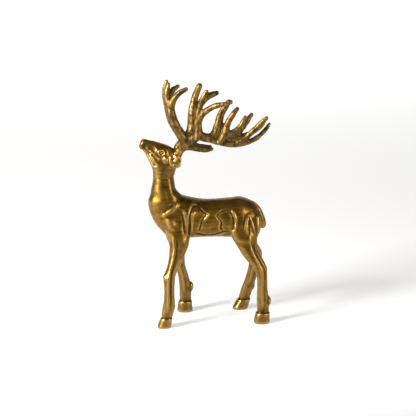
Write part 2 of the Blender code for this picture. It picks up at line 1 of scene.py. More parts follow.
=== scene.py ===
"""Looks of the antique brass stag: the castings are modelled fine, chased, patinated and lit.

Every mass is a profile carried along a path, or an ellipsoid. The masses of one casting are fused
into one skin, their creases are filled like a caster's wax fillets, and folds, lines, eyes and
lips are chased into the skin with strokes. Lengths are in millimetres, and MM turns them into
metres; the studio's paper and the heights of the painted shade down the legs are in metres.
"""
import math

import bmesh
import bpy
import numpy as np
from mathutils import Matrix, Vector


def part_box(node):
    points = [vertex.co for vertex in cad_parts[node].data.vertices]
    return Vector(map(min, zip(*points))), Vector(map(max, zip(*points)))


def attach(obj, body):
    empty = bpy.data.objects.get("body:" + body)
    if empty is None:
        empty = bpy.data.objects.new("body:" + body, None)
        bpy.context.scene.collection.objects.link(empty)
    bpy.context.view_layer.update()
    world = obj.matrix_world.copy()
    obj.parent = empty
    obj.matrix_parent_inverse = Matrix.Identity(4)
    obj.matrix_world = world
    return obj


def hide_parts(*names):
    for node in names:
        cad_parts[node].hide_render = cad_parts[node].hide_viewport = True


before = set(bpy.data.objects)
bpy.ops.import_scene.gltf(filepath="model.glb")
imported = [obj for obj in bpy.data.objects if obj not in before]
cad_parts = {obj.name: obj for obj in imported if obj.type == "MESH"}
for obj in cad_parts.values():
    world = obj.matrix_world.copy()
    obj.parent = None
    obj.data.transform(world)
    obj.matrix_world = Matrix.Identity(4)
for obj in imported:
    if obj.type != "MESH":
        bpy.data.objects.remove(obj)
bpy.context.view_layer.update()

MM = 0.001

# ---- places taken from the frame ------------------------------------------------------------


def span(node):
    """Lowest and highest corner of a CAD node, in millimetres."""
    return [np.array(corner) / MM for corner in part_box(node)]


def middle(node):
    """Centre of a CAD node's box: halfway between its lowest and highest corners."""
    low, high = span(node)
    return (low + high) / 2


COLLAR = middle("neck_sleeve") * (1, 0, 1)    # where head and neck meet, on the middle plane
SHOULDER_X = middle("pin_fore_left")[0]
HIP_X = middle("pin_hind_left")[0]
JOINT_Z = span("body_shell_left")[0][2]       # height at which the legs join the body
SPLIT_X = (SHOULDER_X + HIP_X) / 2            # forelegs stand before it, hind legs behind
STANCE_TOP = 14.6      # middle plane to a leg's centre at its joint
STANCE_SOLE = 24.0     # and at its sole
LEAN_IN = 14.0         # how much nearer it gets over one more leg's length, inside the body
LEAN_END = 1.6         # the lean stops at this share of the joint's height
SEAM_Y = 0.01          # the seam is cut a hair off the middle plane, where no point lies on it
LEFT, RIGHT = -1, 1
SIDES = {"left": LEFT, "right": RIGHT}

BODY_GRAIN = 0.55      # edge of the little squares that a fused skin is made of
HEAD_GRAIN = 0.30
ANTLER_GRAIN = 0.38
TAIL_GRAIN = 0.35
LEAST_RADIUS = 0.2     # a bar never gets thinner
POLE_ANGLE = 0.06      # a ball's first and last ring stand this far from its poles, in radians
BALL_RINGS = 17
PUSH_BACK = 0.9        # share of a smoothing step that is taken back, so that bulk stays
NORMALS_EVERY = 6      # steps of filling between two reckonings of the normals
SLIDE, FILL = 0.5, 0.95    # share of a filling step along the skin, and outwards
STROKE_STEPS = 5       # samples between two points of a chased line
END_POWER = 0.7        # how bluntly a chased line starts and stops
SHARP_ANGLE = math.radians(55)
ON_PLANE = 1e-8        # points this near a cutting plane, in metres, count as on it
COLLAR_GROOVE, COLLAR_REACH = 0.12, 0.5    # depth and half width of the line round the neck


# ---- surfaces -------------------------------------------------------------------------------

def eased(rows, steps):
    """Catmull-Rom curve through the rows, sampled evenly between each pair.

    Between rows b and c, with a before and d after them, the point at share t is half of
    2b + (c - a) t + (2a - 5b + 4c - d) t^2 + (3b - a - 3c + d) t^3.
    """
    rows = np.array(rows, float)
    padded = np.vstack([2 * rows[0] - rows[1], rows, 2 * rows[-1] - rows[-2]])
    spot = np.linspace(0, len(rows) - 1, (len(rows) - 1) * steps + 1)
    first = np.minimum(spot.astype(int), len(rows) - 2)
    t = (spot - first)[:, None]
    a, b, c, d = (padded[first + i] for i in range(4))
    return 0.5 * (2 * b + (c - a) * t + (2 * a - 5 * b + 4 * c - d) * t ** 2
                  + (3 * b - a - 3 * c + d) * t ** 3)


def skin(rings):
    """Closed skin over an array of rings (ring, spoke, xyz): a square between each two spokes of
    neighbouring rings, and at each end a fan round the mean of the last ring.
    """
    count, spokes, _ = rings.shape
    ends = rings[[0, -1]].mean(axis=1)
    points = np.vstack([rings.reshape(-1, 3), ends])
    i, j = np.meshgrid(np.arange(count - 1), np.arange(spokes), indexing="ij")
    i, j, k = i.ravel(), j.ravel(), (j.ravel() + 1) % spokes
    walls = np.stack([i * spokes + j, i * spokes + k, (i + 1) * spokes + k,
                      (i + 1) * spokes + j], axis=1)
    spoke = np.arange(spokes)
    following = (spoke + 1) % spokes
    last = (count - 1) * spokes
    start = np.stack([following, spoke, np.full(spokes, count * spokes)], axis=1)
    finish = np.stack([last + spoke, last + following, np.full(spokes, count * spokes + 1)], axis=1)
    return points, walls, np.vstack([start, finish])


def level_mass(rows, steps=4, spokes=40, square=0.0):
    """Level ovals stacked along Z. Rows hold Z, X, Y, half length and half width.

    A point at turn t lies at (half length cos t, half width sin t) from the ring's centre, pushed
    out by the factor 1 + square sin(2t)^2, which makes the oval squarer.
    """
    rows = eased(rows, steps)
    turn = np.linspace(0, 2 * np.pi, spokes, endpoint=False)
    push = 1 + square * np.sin(2 * turn) ** 2
    z, x, y, a, b = (rows[:, i, None] for i in range(5))
    ring = np.stack([x + a * np.cos(turn) * push, y + b * np.sin(turn) * push,
                     z + 0 * turn], axis=-1)
    return skin(ring)


def upright_mass(rows, steps=4, spokes=56, square=0.0):
    """Upright ovals stacked along X. Rows hold X, Y, Z, half height and half width.

    A point at turn t lies half width cos t across and half height sin t up from the ring's
    centre, pushed out by the factor 1 + square sin(2t)^2.
    """
    rows = eased(rows, steps)
    turn = np.linspace(0, 2 * np.pi, spokes, endpoint=False)
    push = 1 + square * np.sin(2 * turn) ** 2
    x, y, z, a, b = (rows[:, i, None] for i in range(5))
    ring = np.stack([x + 0 * turn, y + b * np.cos(turn) * push, z + a * np.sin(turn) * push],
                    axis=-1)
    return skin(ring)


def bar(rows, steps=6, spokes=16, flat=1.0):
    """Round bar along a path. Rows hold X, Y, Z and radius.

    Each ring is centre + radius (cos t side + flat sin t cross), where side is the Y direction
    made square to the path and cross is square to both.
    """
    rows = eased(rows, steps)
    path, radius = rows[:, :3], np.maximum(rows[:, 3], LEAST_RADIUS)[:, None, None]
    ahead = np.gradient(path, axis=0)
    ahead /= np.linalg.norm(ahead, axis=1)[:, None]
    side = np.array((0.0, 1.0, 0.0)) - ahead * ahead[:, 1:2]
    side /= np.linalg.norm(side, axis=1)[:, None]
    cross = np.cross(ahead, side)
    turn = np.linspace(0, 2 * np.pi, spokes, endpoint=False)[None, :, None]
    return skin(path[:, None] + radius * (np.cos(turn) * side[:, None]
                                          + flat * np.sin(turn) * cross[:, None]))


def ball(centre, radii, spokes=24):
    """Ellipsoid: rings whose radius is the sine, and whose height the cosine, of a polar angle."""
    polar = np.linspace(POLE_ANGLE, np.pi - POLE_ANGLE, BALL_RINGS)[:, None]
    turn = np.linspace(0, 2 * np.pi, spokes, endpoint=False)
    unit = np.stack([np.sin(polar) * np.cos(turn), np.sin(polar) * np.sin(turn),
                     np.cos(polar) + 0 * turn], axis=-1)
    return skin(unit * np.array(radii) + np.array(centre))


def fuse(skins, grain):
    """Overlapping closed skins made one even skin of little squares by a voxel remesh."""
    mesh = bpy.data.meshes.new("mould")
    corners, quads, threes, offset = [], [], [], 0
    for points, walls, fans in skins:
        corners.append(points)
        quads.append(walls + offset)
        threes.append(fans + offset)
        offset += len(points)
    points, quads, threes = np.vstack(corners), np.vstack(quads), np.vstack(threes)
    mesh.from_pydata((points * MM).tolist(), [], quads.tolist() + threes.tolist())
    mould = bpy.data.objects.new("mould", mesh)
    bpy.context.scene.collection.objects.link(mould)
    melt = mould.modifiers.new("melt", "REMESH")
    melt.mode = "VOXEL"
    melt.voxel_size = grain * MM
    solid = mould.evaluated_get(bpy.context.evaluated_depsgraph_get())
    result = solid.to_mesh()
    points = np.empty(len(result.vertices) * 3, np.float32)
    result.vertices.foreach_get("co", points)
    squares = np.empty(len(result.loops), np.int32)
    result.loops.foreach_get("vertex_index", squares)
    solid.to_mesh_clear()
    bpy.data.objects.remove(mould)
    bpy.data.meshes.remove(mesh)
    return points.reshape(-1, 3).astype(float) / MM, squares.reshape(-1, 4)


class Skin:
    """A fused skin: its points, its squares and the sums over neighbours that shaping needs."""

    def __init__(self, skins, grain):
        self.points, self.quads = fuse(skins, grain)
        self.start = self.quads.ravel()
        self.stop = np.roll(self.quads, -1, axis=1).ravel()
        self.degree = np.bincount(self.start, minlength=len(self.points))[:, None]

    def average(self, values):
        """Mean of each point's neighbours along the edges."""
        columns = [np.bincount(self.start, values[self.stop, i], len(values))
                   for i in range(values.shape[1])]
        return np.stack(columns, axis=1) / self.degree

    def normals(self):
        """Outward direction of each point: sum of its squares' crossed diagonals."""
        corner = self.points[self.quads]
        face = np.cross(corner[:, 2] - corner[:, 0], corner[:, 3] - corner[:, 1])
        total = np.stack([np.bincount(self.start, np.repeat(face[:, i], 4), len(self.points))
                          for i in range(3)], axis=1)
        return total / np.maximum(np.linalg.norm(total, axis=1)[:, None], 1e-12)

    def relax(self, times, amount=0.5):
        """Move every point a share of the way to its neighbours' mean, then part of it back."""
        for _ in range(times):
            self.points += amount * (self.average(self.points) - self.points)
            self.points -= PUSH_BACK * amount * (self.average(self.points) - self.points)
        return self

    def fill_creases(self, times):
        """Lift points towards their neighbours' mean only where that is outwards: wax fillets.

        Of the step to the mean, SLIDE of its share along the skin is taken, and FILL of its
        share along the normal where that is positive.
        """
        for turn in range(times):
            if turn % NORMALS_EVERY == 0:
                normal = self.normals()
            step = self.average(self.points) - self.points
            lift = np.einsum("ij,ij->i", step, normal)[:, None]
            self.points += (SLIDE * (step - lift * normal)
                            + FILL * np.maximum(lift, 0) * normal)
        return self

    def hollows(self, times, scale):
        """How far each point lies below the softened skin, over a scale: + hollow, - ridge."""
        soft = self.points
        for _ in range(times):
            soft = self.average(soft)
        depth = np.einsum("ij,ij->i", soft - self.points, self.normals())
        return depth / scale


# ---- chasing --------------------------------------------------------------------------------

def path_distance(points, path):
    """Distance of each point from a polyline in the same number of dimensions, and the share of
    the way along it: the nearest foot of a perpendicular among all its straight parts.
    """
    path = np.array(path, float)
    lengths = np.linalg.norm(np.diff(path, axis=0), axis=1)
    walked = np.concatenate([[0], np.cumsum(lengths)])
    best = np.full(len(points), np.inf)
    share = np.zeros(len(points))
    for a, b, begin, length in zip(path, path[1:], walked, lengths):
        along = np.clip((points - a) @ (b - a) / length ** 2, 0, 1)
        gap = np.linalg.norm(points - a - along[:, None] * (b - a), axis=1)
        closer = gap < best
        best = np.where(closer, gap, best)
        share = np.where(closer, (begin + along * length) / walked[-1], share)
    return best, share


def bell(distance, reach):
    """1 in the middle, falling to 1/e at the reach: exp(-(distance / reach)^2)."""
    return np.exp(-(distance / reach) ** 2)


def stroke(points, path, width, height, taper=0.15):
    """Ridge (or groove, with a negative height) along a curve: height times the bell of the
    distance from the curve, fading to nothing over the taper's share of its length at each end.
    """
    gap, share = path_distance(points, eased(path, STROKE_STEPS))
    ends = np.clip(np.minimum(share, 1 - share) / taper, 0, 1) ** END_POWER
    return height * ends * bell(gap, width)


def side_view(points, side, inner, fade):
    """X and Z of the points, and a weight for one side of the middle plane: 0 up to the inner
    distance from it, growing evenly to 1 over the fade.
    """
    weight = np.clip((points[:, 1] * side - inner) / fade, 0, 1)
    return points[:, [0, 2]], weight


CELL_SHIFT = 500                                 # keeps every lattice number above zero
CELL_MIX = (73856093, 19349663, 83492791)        # large primes, one for each axis
SEED_MIX = 2654435
DRAW_FACTOR, DRAW_STEP = 1103515245, 12345       # one step of a congruential draw
DRAW_MOST = 65535


def lumps(points, size, seed):
    """Value noise: random numbers on a lattice of this size, blended smoothly between corners.

    Each corner's number comes from its lattice place and the seed alone, and weighs the product
    over the axes of t or 1 - t, where t is eased as 3t^2 - 2t^3.
    """
    cell = points / size + CELL_SHIFT
    low = np.floor(cell).astype(np.int64)
    t = cell - low
    t = t * t * (3 - 2 * t)
    total = np.zeros(len(points))
    for corner in np.ndindex(2, 2, 2):
        at = (low + corner) * CELL_MIX
        mixed = at[:, 0] ^ at[:, 1] ^ at[:, 2] ^ (seed * SEED_MIX)
        value = (((mixed * DRAW_FACTOR + DRAW_STEP) >> 8) & DRAW_MOST) / DRAW_MOST - 0.5
        weight = np.prod(np.where(corner, t, 1 - t), axis=1)
        total += weight * value
    return total


def unevenness(points, layers):
    """Sum of lumps of several sizes. Layers hold a height, a size and a seed."""
    return sum(height * lumps(points, size, seed) for height, size, seed in layers)


# ---- materials ------------------------------------------------------------------------------

LINES_IN_MOTTLE = 0.7            # weight of the brushing beside the clouds
MOTTLE_SPAN = (0.76, 0.96)       # bright metal below the first, worn above the second
LEG_HEIGHTS = (0.045, 0.10)      # metres: painted shade, the wear colour, below the first, as the rest above the second
# Ridges: bright from rubbing, partly a painted highlight
RIDGE_SPAN = (-0.15, -0.9)       # hollow where the bright colour of rubbing and painted highlight starts, and where it is complete
RUB_SHINE_MOST = 0.8
RUB_SHINE_LIFT = 0.05               # grey that rubbing and the painted highlight add to the metal's colour
GRAIN_IN_PATINA = 0.5            # how much the grain breaks the patina's edge
PATINA_AND_SHADE_SPAN = (0.40, 1.15)       # hollow where dark patina, and the head's painted shade, start, and where they are full
CLOUDS_IN_ROUGHNESS = 0.22
PATINA_IN_ROUGHNESS = 0.25
LACQUER_ROUGHNESS = 0.32
MIX_ONE, MIX_TWO, MIX_RESULT = 6, 7, 2    # the colour sockets of a mix node


def brass(name, bright, wear_and_shade, dark, roughness, grain_size, grain_depth, brushing,
          mottle=0.85, dark_level=1.0, lacquer=0.15, rub_shine_factor=1.5, low_shade=0.0,
          cloud_size=55.0):
    """Antique brass: bright metal that clouds and brushed lines turn to the wear colour, as much as
    mottle says, and that turns to it down the legs as painted shade, as far as the low shade amount
    says. Ridges turn bright from rubbing, partly a painted highlight, up to their factor times the
    bright colour, hollows are dark as far as dark_level, and a fine cast grain and the brushing
    (its turn, its scale along each axis and its depth) roughen it under a thin lacquer.
    """
    metal = bpy.data.materials.new(name)
    metal.use_nodes = True
    tree = metal.node_tree
    shader = tree.nodes["Principled BSDF"]
    shader.inputs["Metallic"].default_value = 1.0

    def node(kind, **values):
        """New node; a value goes into the socket of that name, or else sets that property."""
        made = tree.nodes.new(kind)
        for key, value in values.items():
            if key in made.inputs:
                made.inputs[key].default_value = value
            else:
                setattr(made, key, value)
        return made

    def link(source, socket, target, entry):
        tree.links.new(source.outputs[socket], target.inputs[entry])

    def scaled(source, socket, span_in, span_out):
        """Node that carries the source from one span to the other, evenly and held at its ends."""
        spread = node("ShaderNodeMapRange")
        for key, value in zip(("From Min", "From Max", "To Min", "To Max"), span_in + span_out):
            spread.inputs[key].default_value = value
        link(source, socket, spread, "Value")
        return spread

    def weighed(source, socket, weight, **values):
        """Node that gives weight times the source, plus what is put into its third socket."""
        made = node("ShaderNodeMath", operation="MULTIPLY_ADD", **values)
        link(source, socket, made, 0)
        made.inputs[1].default_value = weight
        return made

    def blend(factor, one, two):
        """Node that goes from one colour to the other as the factor goes from 0 to 1."""
        mix = node("ShaderNodeMix", data_type="RGBA")
        link(factor, "Result", mix, "Factor")
        for colour, entry in ((one, MIX_ONE), (two, MIX_TWO)):
            if isinstance(colour, tuple):
                mix.inputs[entry].default_value = (*colour, 1)
            else:
                tree.links.new(colour.outputs[MIX_RESULT], mix.inputs[entry])
        return mix

    place = node("ShaderNodeTexCoord")
    cavity = node("ShaderNodeAttribute", attribute_name="hollow")
    cloud = node("ShaderNodeTexNoise", Scale=cloud_size, Detail=6.0, Roughness=0.7)
    fine = node("ShaderNodeTexNoise", Scale=grain_size, Detail=4.0, Roughness=0.65)
    turned = node("ShaderNodeMapping", Rotation=brushing[0], Scale=brushing[1])
    lines = node("ShaderNodeTexNoise", Scale=1.0, Detail=3.0, Roughness=0.6)
    height = node("ShaderNodeSeparateXYZ")
    for reader in (cloud, fine, turned, height):
        link(place, "Object", reader, "Vector")
    link(turned, "Vector", lines, "Vector")

    # colour: bright, mottled, painted shade down the legs, bright on ridges from rubbing and a
    # painted highlight, dark in hollows with patina and with the head's painted shade
    mixed = weighed(lines, "Fac", LINES_IN_MOTTLE)
    link(cloud, "Fac", mixed, 2)
    patches = scaled(mixed, "Value", MOTTLE_SPAN, (0.0, mottle))
    cast = blend(patches, bright, wear_and_shade)
    # painted shade: the lower legs turn to the wear colour
    lowness = scaled(height, "Z", LEG_HEIGHTS, (low_shade, 0.0))
    base = blend(lowness, cast, wear_and_shade)
    # ridges: bright from rubbing, partly a painted highlight
    ridge = scaled(cavity, "Fac", RIDGE_SPAN, (0.0, RUB_SHINE_MOST))
    rub_shine_colour = blend(ridge, base, tuple(rub_shine_factor * c + RUB_SHINE_LIFT for c in bright))
    broken = weighed(fine, "Fac", GRAIN_IN_PATINA)
    link(cavity, "Fac", broken, 2)
    pocket = scaled(broken, "Value", PATINA_AND_SHADE_SPAN, (0.0, dark_level))
    colour = blend(pocket, rub_shine_colour, dark)
    tree.links.new(colour.outputs[MIX_RESULT], shader.inputs["Base Color"])

    # roughness: the stated one, uneven with the clouds and duller under patina
    sheen = weighed(cloud, "Fac", CLOUDS_IN_ROUGHNESS)
    sheen.inputs[2].default_value = roughness - CLOUDS_IN_ROUGHNESS / 2
    rough = weighed(pocket, "Result", PATINA_IN_ROUGHNESS, use_clamp=True)
    link(sheen, "Value", rough, 2)
    link(rough, "Value", shader, "Roughness")
    shader.inputs["Coat Weight"].default_value = lacquer
    shader.inputs["Coat Roughness"].default_value = LACQUER_ROUGHNESS

    # relief: cast grain, then the brushing over it
    bump = node("ShaderNodeBump", Strength=1.0, Distance=grain_depth * MM)
    brushed = node("ShaderNodeBump", Strength=1.0, Distance=brushing[2] * MM)
    link(fine, "Fac", bump, "Height")
    link(lines, "Fac", brushed, "Height")
    link(bump, "Normal", brushed, "Normal")
    link(brushed, "Normal", shader, "Normal")
    return metal


# Ridges of each metal turn bright from rubbing and a painted highlight; the body's metal also
# darkens down the legs as painted shade.
BODY_METAL = brass("body_brass", bright=(0.235, 0.124, 0.011), wear_and_shade=(0.092, 0.047, 0.0045),
                   dark=(0.022, 0.013, 0.005), roughness=0.36, grain_size=900,
                   grain_depth=0.05, brushing=((0.0, 0.1, 0.0), (30, 260, 420), 0.02),
                   dark_level=0.9, low_shade=0.95, cloud_size=75.0)
HEAD_METAL = brass("head_brass", bright=(0.30, 0.166, 0.030), wear_and_shade=(0.13, 0.070, 0.011),
                   dark=(0.026, 0.016, 0.006), roughness=0.34, grain_size=1100,
                   grain_depth=0.04, brushing=((0.0, 0.6, 0.0), (120, 300, 420), 0.02),
                   dark_level=0.75, lacquer=0.2, rub_shine_factor=2.1, cloud_size=150.0)
ANTLER_METAL = brass("antler_brass", bright=(0.25, 0.146, 0.032), wear_and_shade=(0.075, 0.042, 0.012),
                     dark=(0.028, 0.018, 0.008), roughness=0.50, grain_size=700,
                     grain_depth=0.10, brushing=((0.1, 0.5, 0.2), (420, 420, 120), 0.05),
                     mottle=1.0, rub_shine_factor=0.9, cloud_size=170.0)
BARE_METAL = brass("bare_turned_brass", bright=(0.58, 0.40, 0.15), wear_and_shade=(0.45, 0.30, 0.10),
                   dark=(0.10, 0.06, 0.025), roughness=0.28, grain_size=1500,
                   grain_depth=0.02, brushing=((0, 0, 0), (40, 2500, 40), 0.02),
                   mottle=0.3, lacquer=0.0)


# ---- cutting the castings apart -------------------------------------------------------------

def casting(name, shape, hollow, planes, metal, nodes):
    """One piece: the part of the fused skin that lies behind each plane (a point on it and its
    outward direction), with a flat cap of triangles on every cut.
    """
    mesh = bpy.data.meshes.new(name)
    mesh.vertices.add(len(shape.points))
    mesh.vertices.foreach_set("co", (shape.points * MM).ravel())
    mesh.loops.add(shape.quads.size)
    mesh.loops.foreach_set("vertex_index", shape.quads.ravel())
    mesh.polygons.add(len(shape.quads))
    mesh.polygons.foreach_set("loop_start", np.arange(0, shape.quads.size, 4))
    mesh.attributes.new("hollow", "FLOAT", "POINT").data.foreach_set("value", hollow)
    mesh.update(calc_edges=True)
    bm = bmesh.new()
    bm.from_mesh(mesh)
    for at, outward in planes:
        cut = bmesh.ops.bisect_plane(bm, geom=bm.verts[:] + bm.edges[:] + bm.faces[:],
                                     plane_co=np.array(at) * MM, plane_no=outward,
                                     clear_outer=True, dist=ON_PLANE)
        rim = [part for part in cut["geom_cut"] if isinstance(part, bmesh.types.BMEdge)]
        bmesh.ops.triangle_fill(bm, use_beauty=True, edges=rim)
    bmesh.ops.recalc_face_normals(bm, faces=bm.faces)
    bm.to_mesh(mesh)
    bm.free()
    mesh.shade_smooth()
    mesh.set_sharp_from_angle(angle=SHARP_ANGLE)
    return piece(name, mesh, metal, nodes)


def piece(name, mesh, metal, nodes):
    """Link a finished mesh, give it its metal, hang it from the root and hide the CAD nodes it
    takes the place of.
    """
    made = bpy.data.objects.new(name, mesh)
    bpy.context.scene.collection.objects.link(made)
    mesh.materials.append(metal)
    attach(made, "root")
    if nodes:
        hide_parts(*nodes)
    return made


# ---- body and legs --------------------------------------------------------------------------

# Trunk: X from the shoulder, middle height, half height, half width
TRUNK = ((-6.7, 108, 16, 13.5), (2.3, 108.5, 21, 16.6), (11.3, 107, 21.0, 17.0),
         (20.3, 105.9, 19.9, 16.4), (29.3, 105.3, 19.3, 16.0), (38.3, 105.1, 19.3, 15.8),
         (47.3, 105.1, 19.8, 16.0), (55.3, 105, 20.3, 16.6), (63.8, 104.6, 21.3, 17.0),
         (71.4, 103, 20.6, 15.8), (76.4, 102, 18.8, 13.8), (80.4, 100.6, 15.6, 11.2),
         (83.2, 99.2, 10.6, 7.8), (84.8, 98.2, 4.0, 3.2))
# Neck: height, X from the shoulder, half length, half width
NECK = ((156, -12.8, 10.3, 8.9), (152, -13.0, 10.2, 9.0), (148.5, -13.2, 10.3, 9.4),
        (142, -13.4, 11.2, 10.2), (136, -13.3, 12.6, 11.3), (130.7, -11.6, 15.3, 12.7),
        (125, -10.2, 18.6, 14.0), (118, -7.9, 20.4, 15.2), (110, -6.1, 19.8, 15.6),
        (102, -4.2, 18.0, 14.8), (95, -1.7, 15.1, 12.4), (89, 0.3, 11.6, 9.0),
        (84.5, 1.3, 7.0, 4.6))
# Legs: height, X from the shoulder or hip, half length, half width
FORE_TOP = ((119, 0.0, 8.0, 4.6), (110, -0.6, 11.6, 6.2), (102, -0.6, 12.8, 6.8),
            (94, -0.2, 12.0, 7.1), (88, 0.0, 10.8, 7.6))
FORE_LEFT = ((81.5, 0.0, 9.5, 7.0), (74.5, -1.9, 8.3, 6.3), (67.6, -3.9, 7.1, 5.9),
             (60.6, -6.7, 6.1, 5.4), (55.5, -9.0, 5.9, 5.2), (51.2, -10.9, 6.2, 5.3),
             (46.7, -10.9, 5.7, 5.0), (39.6, -11.0, 5.2, 4.6), (32.5, -11.1, 5.3, 4.6),
             (26.5, -11.2, 5.8, 5.0), (21.7, -11.7, 6.1, 5.2), (17.0, -12.6, 6.1, 5.2),
             (13.0, -13.4, 5.9, 5.0), (10.9, -13.9, 5.7, 4.9))
FORE_RIGHT = ((81.5, 0.2, 9.2, 7.0), (74.0, 1.8, 7.9, 6.1), (64.3, 3.4, 6.6, 5.5),
              (52.2, 4.7, 5.8, 5.1), (44.8, 7.3, 5.2, 4.7), (37.0, 9.3, 5.6, 4.8),
              (29.1, 10.8, 6.1, 5.1), (23.0, 11.2, 6.2, 5.2), (17.5, 11.2, 6.1, 5.2),
              (12.6, 11.3, 6.0, 5.0))
HIND_TOP = ((116, 0.6, 9.0, 4.4), (108, 0.4, 14.0, 6.6), (100, 0.2, 16.0, 7.6),
            (92, -0.4, 14.6, 8.0), (86, -0.4, 12.0, 8.1))
HIND_LEFT = ((81.5, 0.4, 10.2, 6.9), (76.5, 2.6, 9.3, 6.4), (71.3, 5.4, 9.0, 6.0),
             (64.0, 10.0, 8.6, 5.5), (56.7, 14.8, 6.9, 5.0), (49.5, 16.5, 5.6, 4.6),
             (42.4, 16.8, 5.3, 4.6), (35.2, 16.9, 5.3, 4.6), (28.0, 17.2, 5.9, 5.0),
             (21.5, 17.5, 6.2, 5.2), (16.0, 17.6, 6.0, 5.2), (11.4, 17.5, 5.8, 5.1))
HIND_RIGHT = ((81.5, 1.0, 10.0, 6.9), (76.0, 6.0, 8.6, 6.2), (70.0, 12.0, 7.6, 5.8),
              (62.0, 16.4, 7.4, 5.4), (54.0, 17.0, 6.6, 5.0), (46.0, 16.0, 5.8, 4.6),
              (37.6, 14.4, 5.7, 4.7), (29.9, 12.2, 5.9, 4.9), (23.5, 10.2, 6.1, 5.1),
              (18.1, 8.4, 6.0, 5.1), (12.0, 6.6, 5.9, 5.0))
# Height of each coronet
HOOF_TOP = {"fore_left": 10.0, "fore_right": 11.4, "hind_left": 11.2, "hind_right": 10.6}
# Hooves: share of the hoof's height, X from the leg's last ring, half length, half width
HOOF = ((1.06, 0.0, 5.2, 4.8), (0.98, -0.1, 5.9, 5.4), (0.80, -0.5, 6.2, 5.8),
        (0.45, -0.9, 6.6, 6.1), (0.15, -1.1, 6.9, 6.3), (0.0, -1.1, 6.7, 6.1))


def leg_y(height, side):
    """How far out a leg stands at a height. With share for the height over the joint's height,
    it is sole + share^2 (joint - sole) up to the joint, and LEAN_IN (share - 1) less above it.
    """
    share = np.clip(height / JOINT_Z, 0, LEAN_END)
    return side * (STANCE_SOLE + np.minimum(share, 1) ** 2 * (STANCE_TOP - STANCE_SOLE)
                   - np.maximum(share - 1, 0) * LEAN_IN)


# Each leg: its end and side, its rows above and below the joint, how far its hoof slides back
# from coronet to sole (forwards where negative), and the hoof's size
LEGS = (("fore", "left", FORE_TOP, FORE_LEFT, -1.6, 1.0),
        ("fore", "right", FORE_TOP, FORE_RIGHT, 0.6, 1.16),
        ("hind", "left", HIND_TOP, HIND_LEFT, -0.2, 1.17),
        ("hind", "right", HIND_TOP, HIND_RIGHT, -3.4, 1.14))
ANKLE_HALF, ANKLE_LENGTH, ANKLE_WIDTH = 2.0, 5.0, 4.6    # half height, half length, half width
# Dewclaws: X, height, side and size
DEWCLAWS = ((SHOULDER_X - 7.6, 21.8, LEFT, 1.0), (SHOULDER_X + 16.6, 26.8, RIGHT, 1.2),
            (HIP_X + 22.6, 22.6, LEFT, 1.2), (HIP_X + 15.0, 24.6, RIGHT, 1.0))
DEWCLAW_RADII = (2.6, 3.0, 4.2)
KNEE = (SHOULDER_X - 14.2, leg_y(51, LEFT), 51.2)        # front of the left foreleg's knee
KNEE_RADII = (2.8, 3.4, 3.2)
# Muscles of each side: X from the shoulder or hip, outwards, height and radius
SHOULDER_MUSCLE = ((-12.0, 10.5, 112.0, 4.6), (-7.4, 12.4, 104.0, 6.2), (-4.0, 13.6, 94.0, 5.4),
                   (-3.6, 14.6, 84.0, 4.2))
THIGH_MUSCLE = ((12.0, 11.6, 108.0, 4.0), (11.4, 12.6, 98.0, 5.6), (8.0, 14.4, 86.0, 4.6),
                (10.6, 16.0, 74.0, 3.4))


def leg_masses(end, word, top, rows, hoof_shift, hoof_size):
    """Leg from inside the body to its hoof, the hoof, and a short ankle that ties the two."""
    side = SIDES[word]
    root = SHOULDER_X if end == "fore" else HIP_X
    down = [(z, root + x, leg_y(z, side), a, b) for z, x, a, b in top + rows]
    foot_x = root + rows[-1][1]
    tall = HOOF_TOP[f"{end}_{word}"]
    hoof = [(share * tall, foot_x + x + hoof_shift * (1 - share), side * STANCE_SOLE,
             a * hoof_size, b * hoof_size) for share, x, a, b in HOOF]
    ankle = [(tall + ANKLE_HALF, foot_x, leg_y(tall, side), ANKLE_LENGTH, ANKLE_WIDTH),
             (tall - ANKLE_HALF, foot_x, side * STANCE_SOLE, ANKLE_LENGTH, ANKLE_WIDTH)]
    return [level_mass(down, steps=5, spokes=36, square=0.03),
            level_mass(hoof, steps=4, spokes=44, square=0.05),
            level_mass(ankle, steps=2, spokes=32)]


def body_shape():
    """Trunk, neck, legs, dewclaws, knee and muscles as one skin with its creases filled."""
    trunk = upright_mass([(SHOULDER_X + x, 0.0, z, a, b) for x, z, a, b in TRUNK],
                         steps=5, spokes=72, square=0.02)
    neck = level_mass([(z, SHOULDER_X + x, 0.0, a, b) for z, x, a, b in NECK],
                      steps=5, spokes=64)
    masses = [trunk, neck]
    for leg in LEGS:
        masses += leg_masses(*leg)
    for x, z, side, size in DEWCLAWS:
        masses.append(ball((x, leg_y(z, side), z), [radius * size for radius in DEWCLAW_RADII]))
    masses.append(ball(KNEE, KNEE_RADII))
    for side in SIDES.values():
        for root, rows in ((SHOULDER_X, SHOULDER_MUSCLE), (HIP_X, THIGH_MUSCLE)):
            masses.append(bar([(root + x, side * out, z, radius) for x, out, z, radius in rows]))
    return Skin(masses, BODY_GRAIN).fill_creases(70).relax(6)


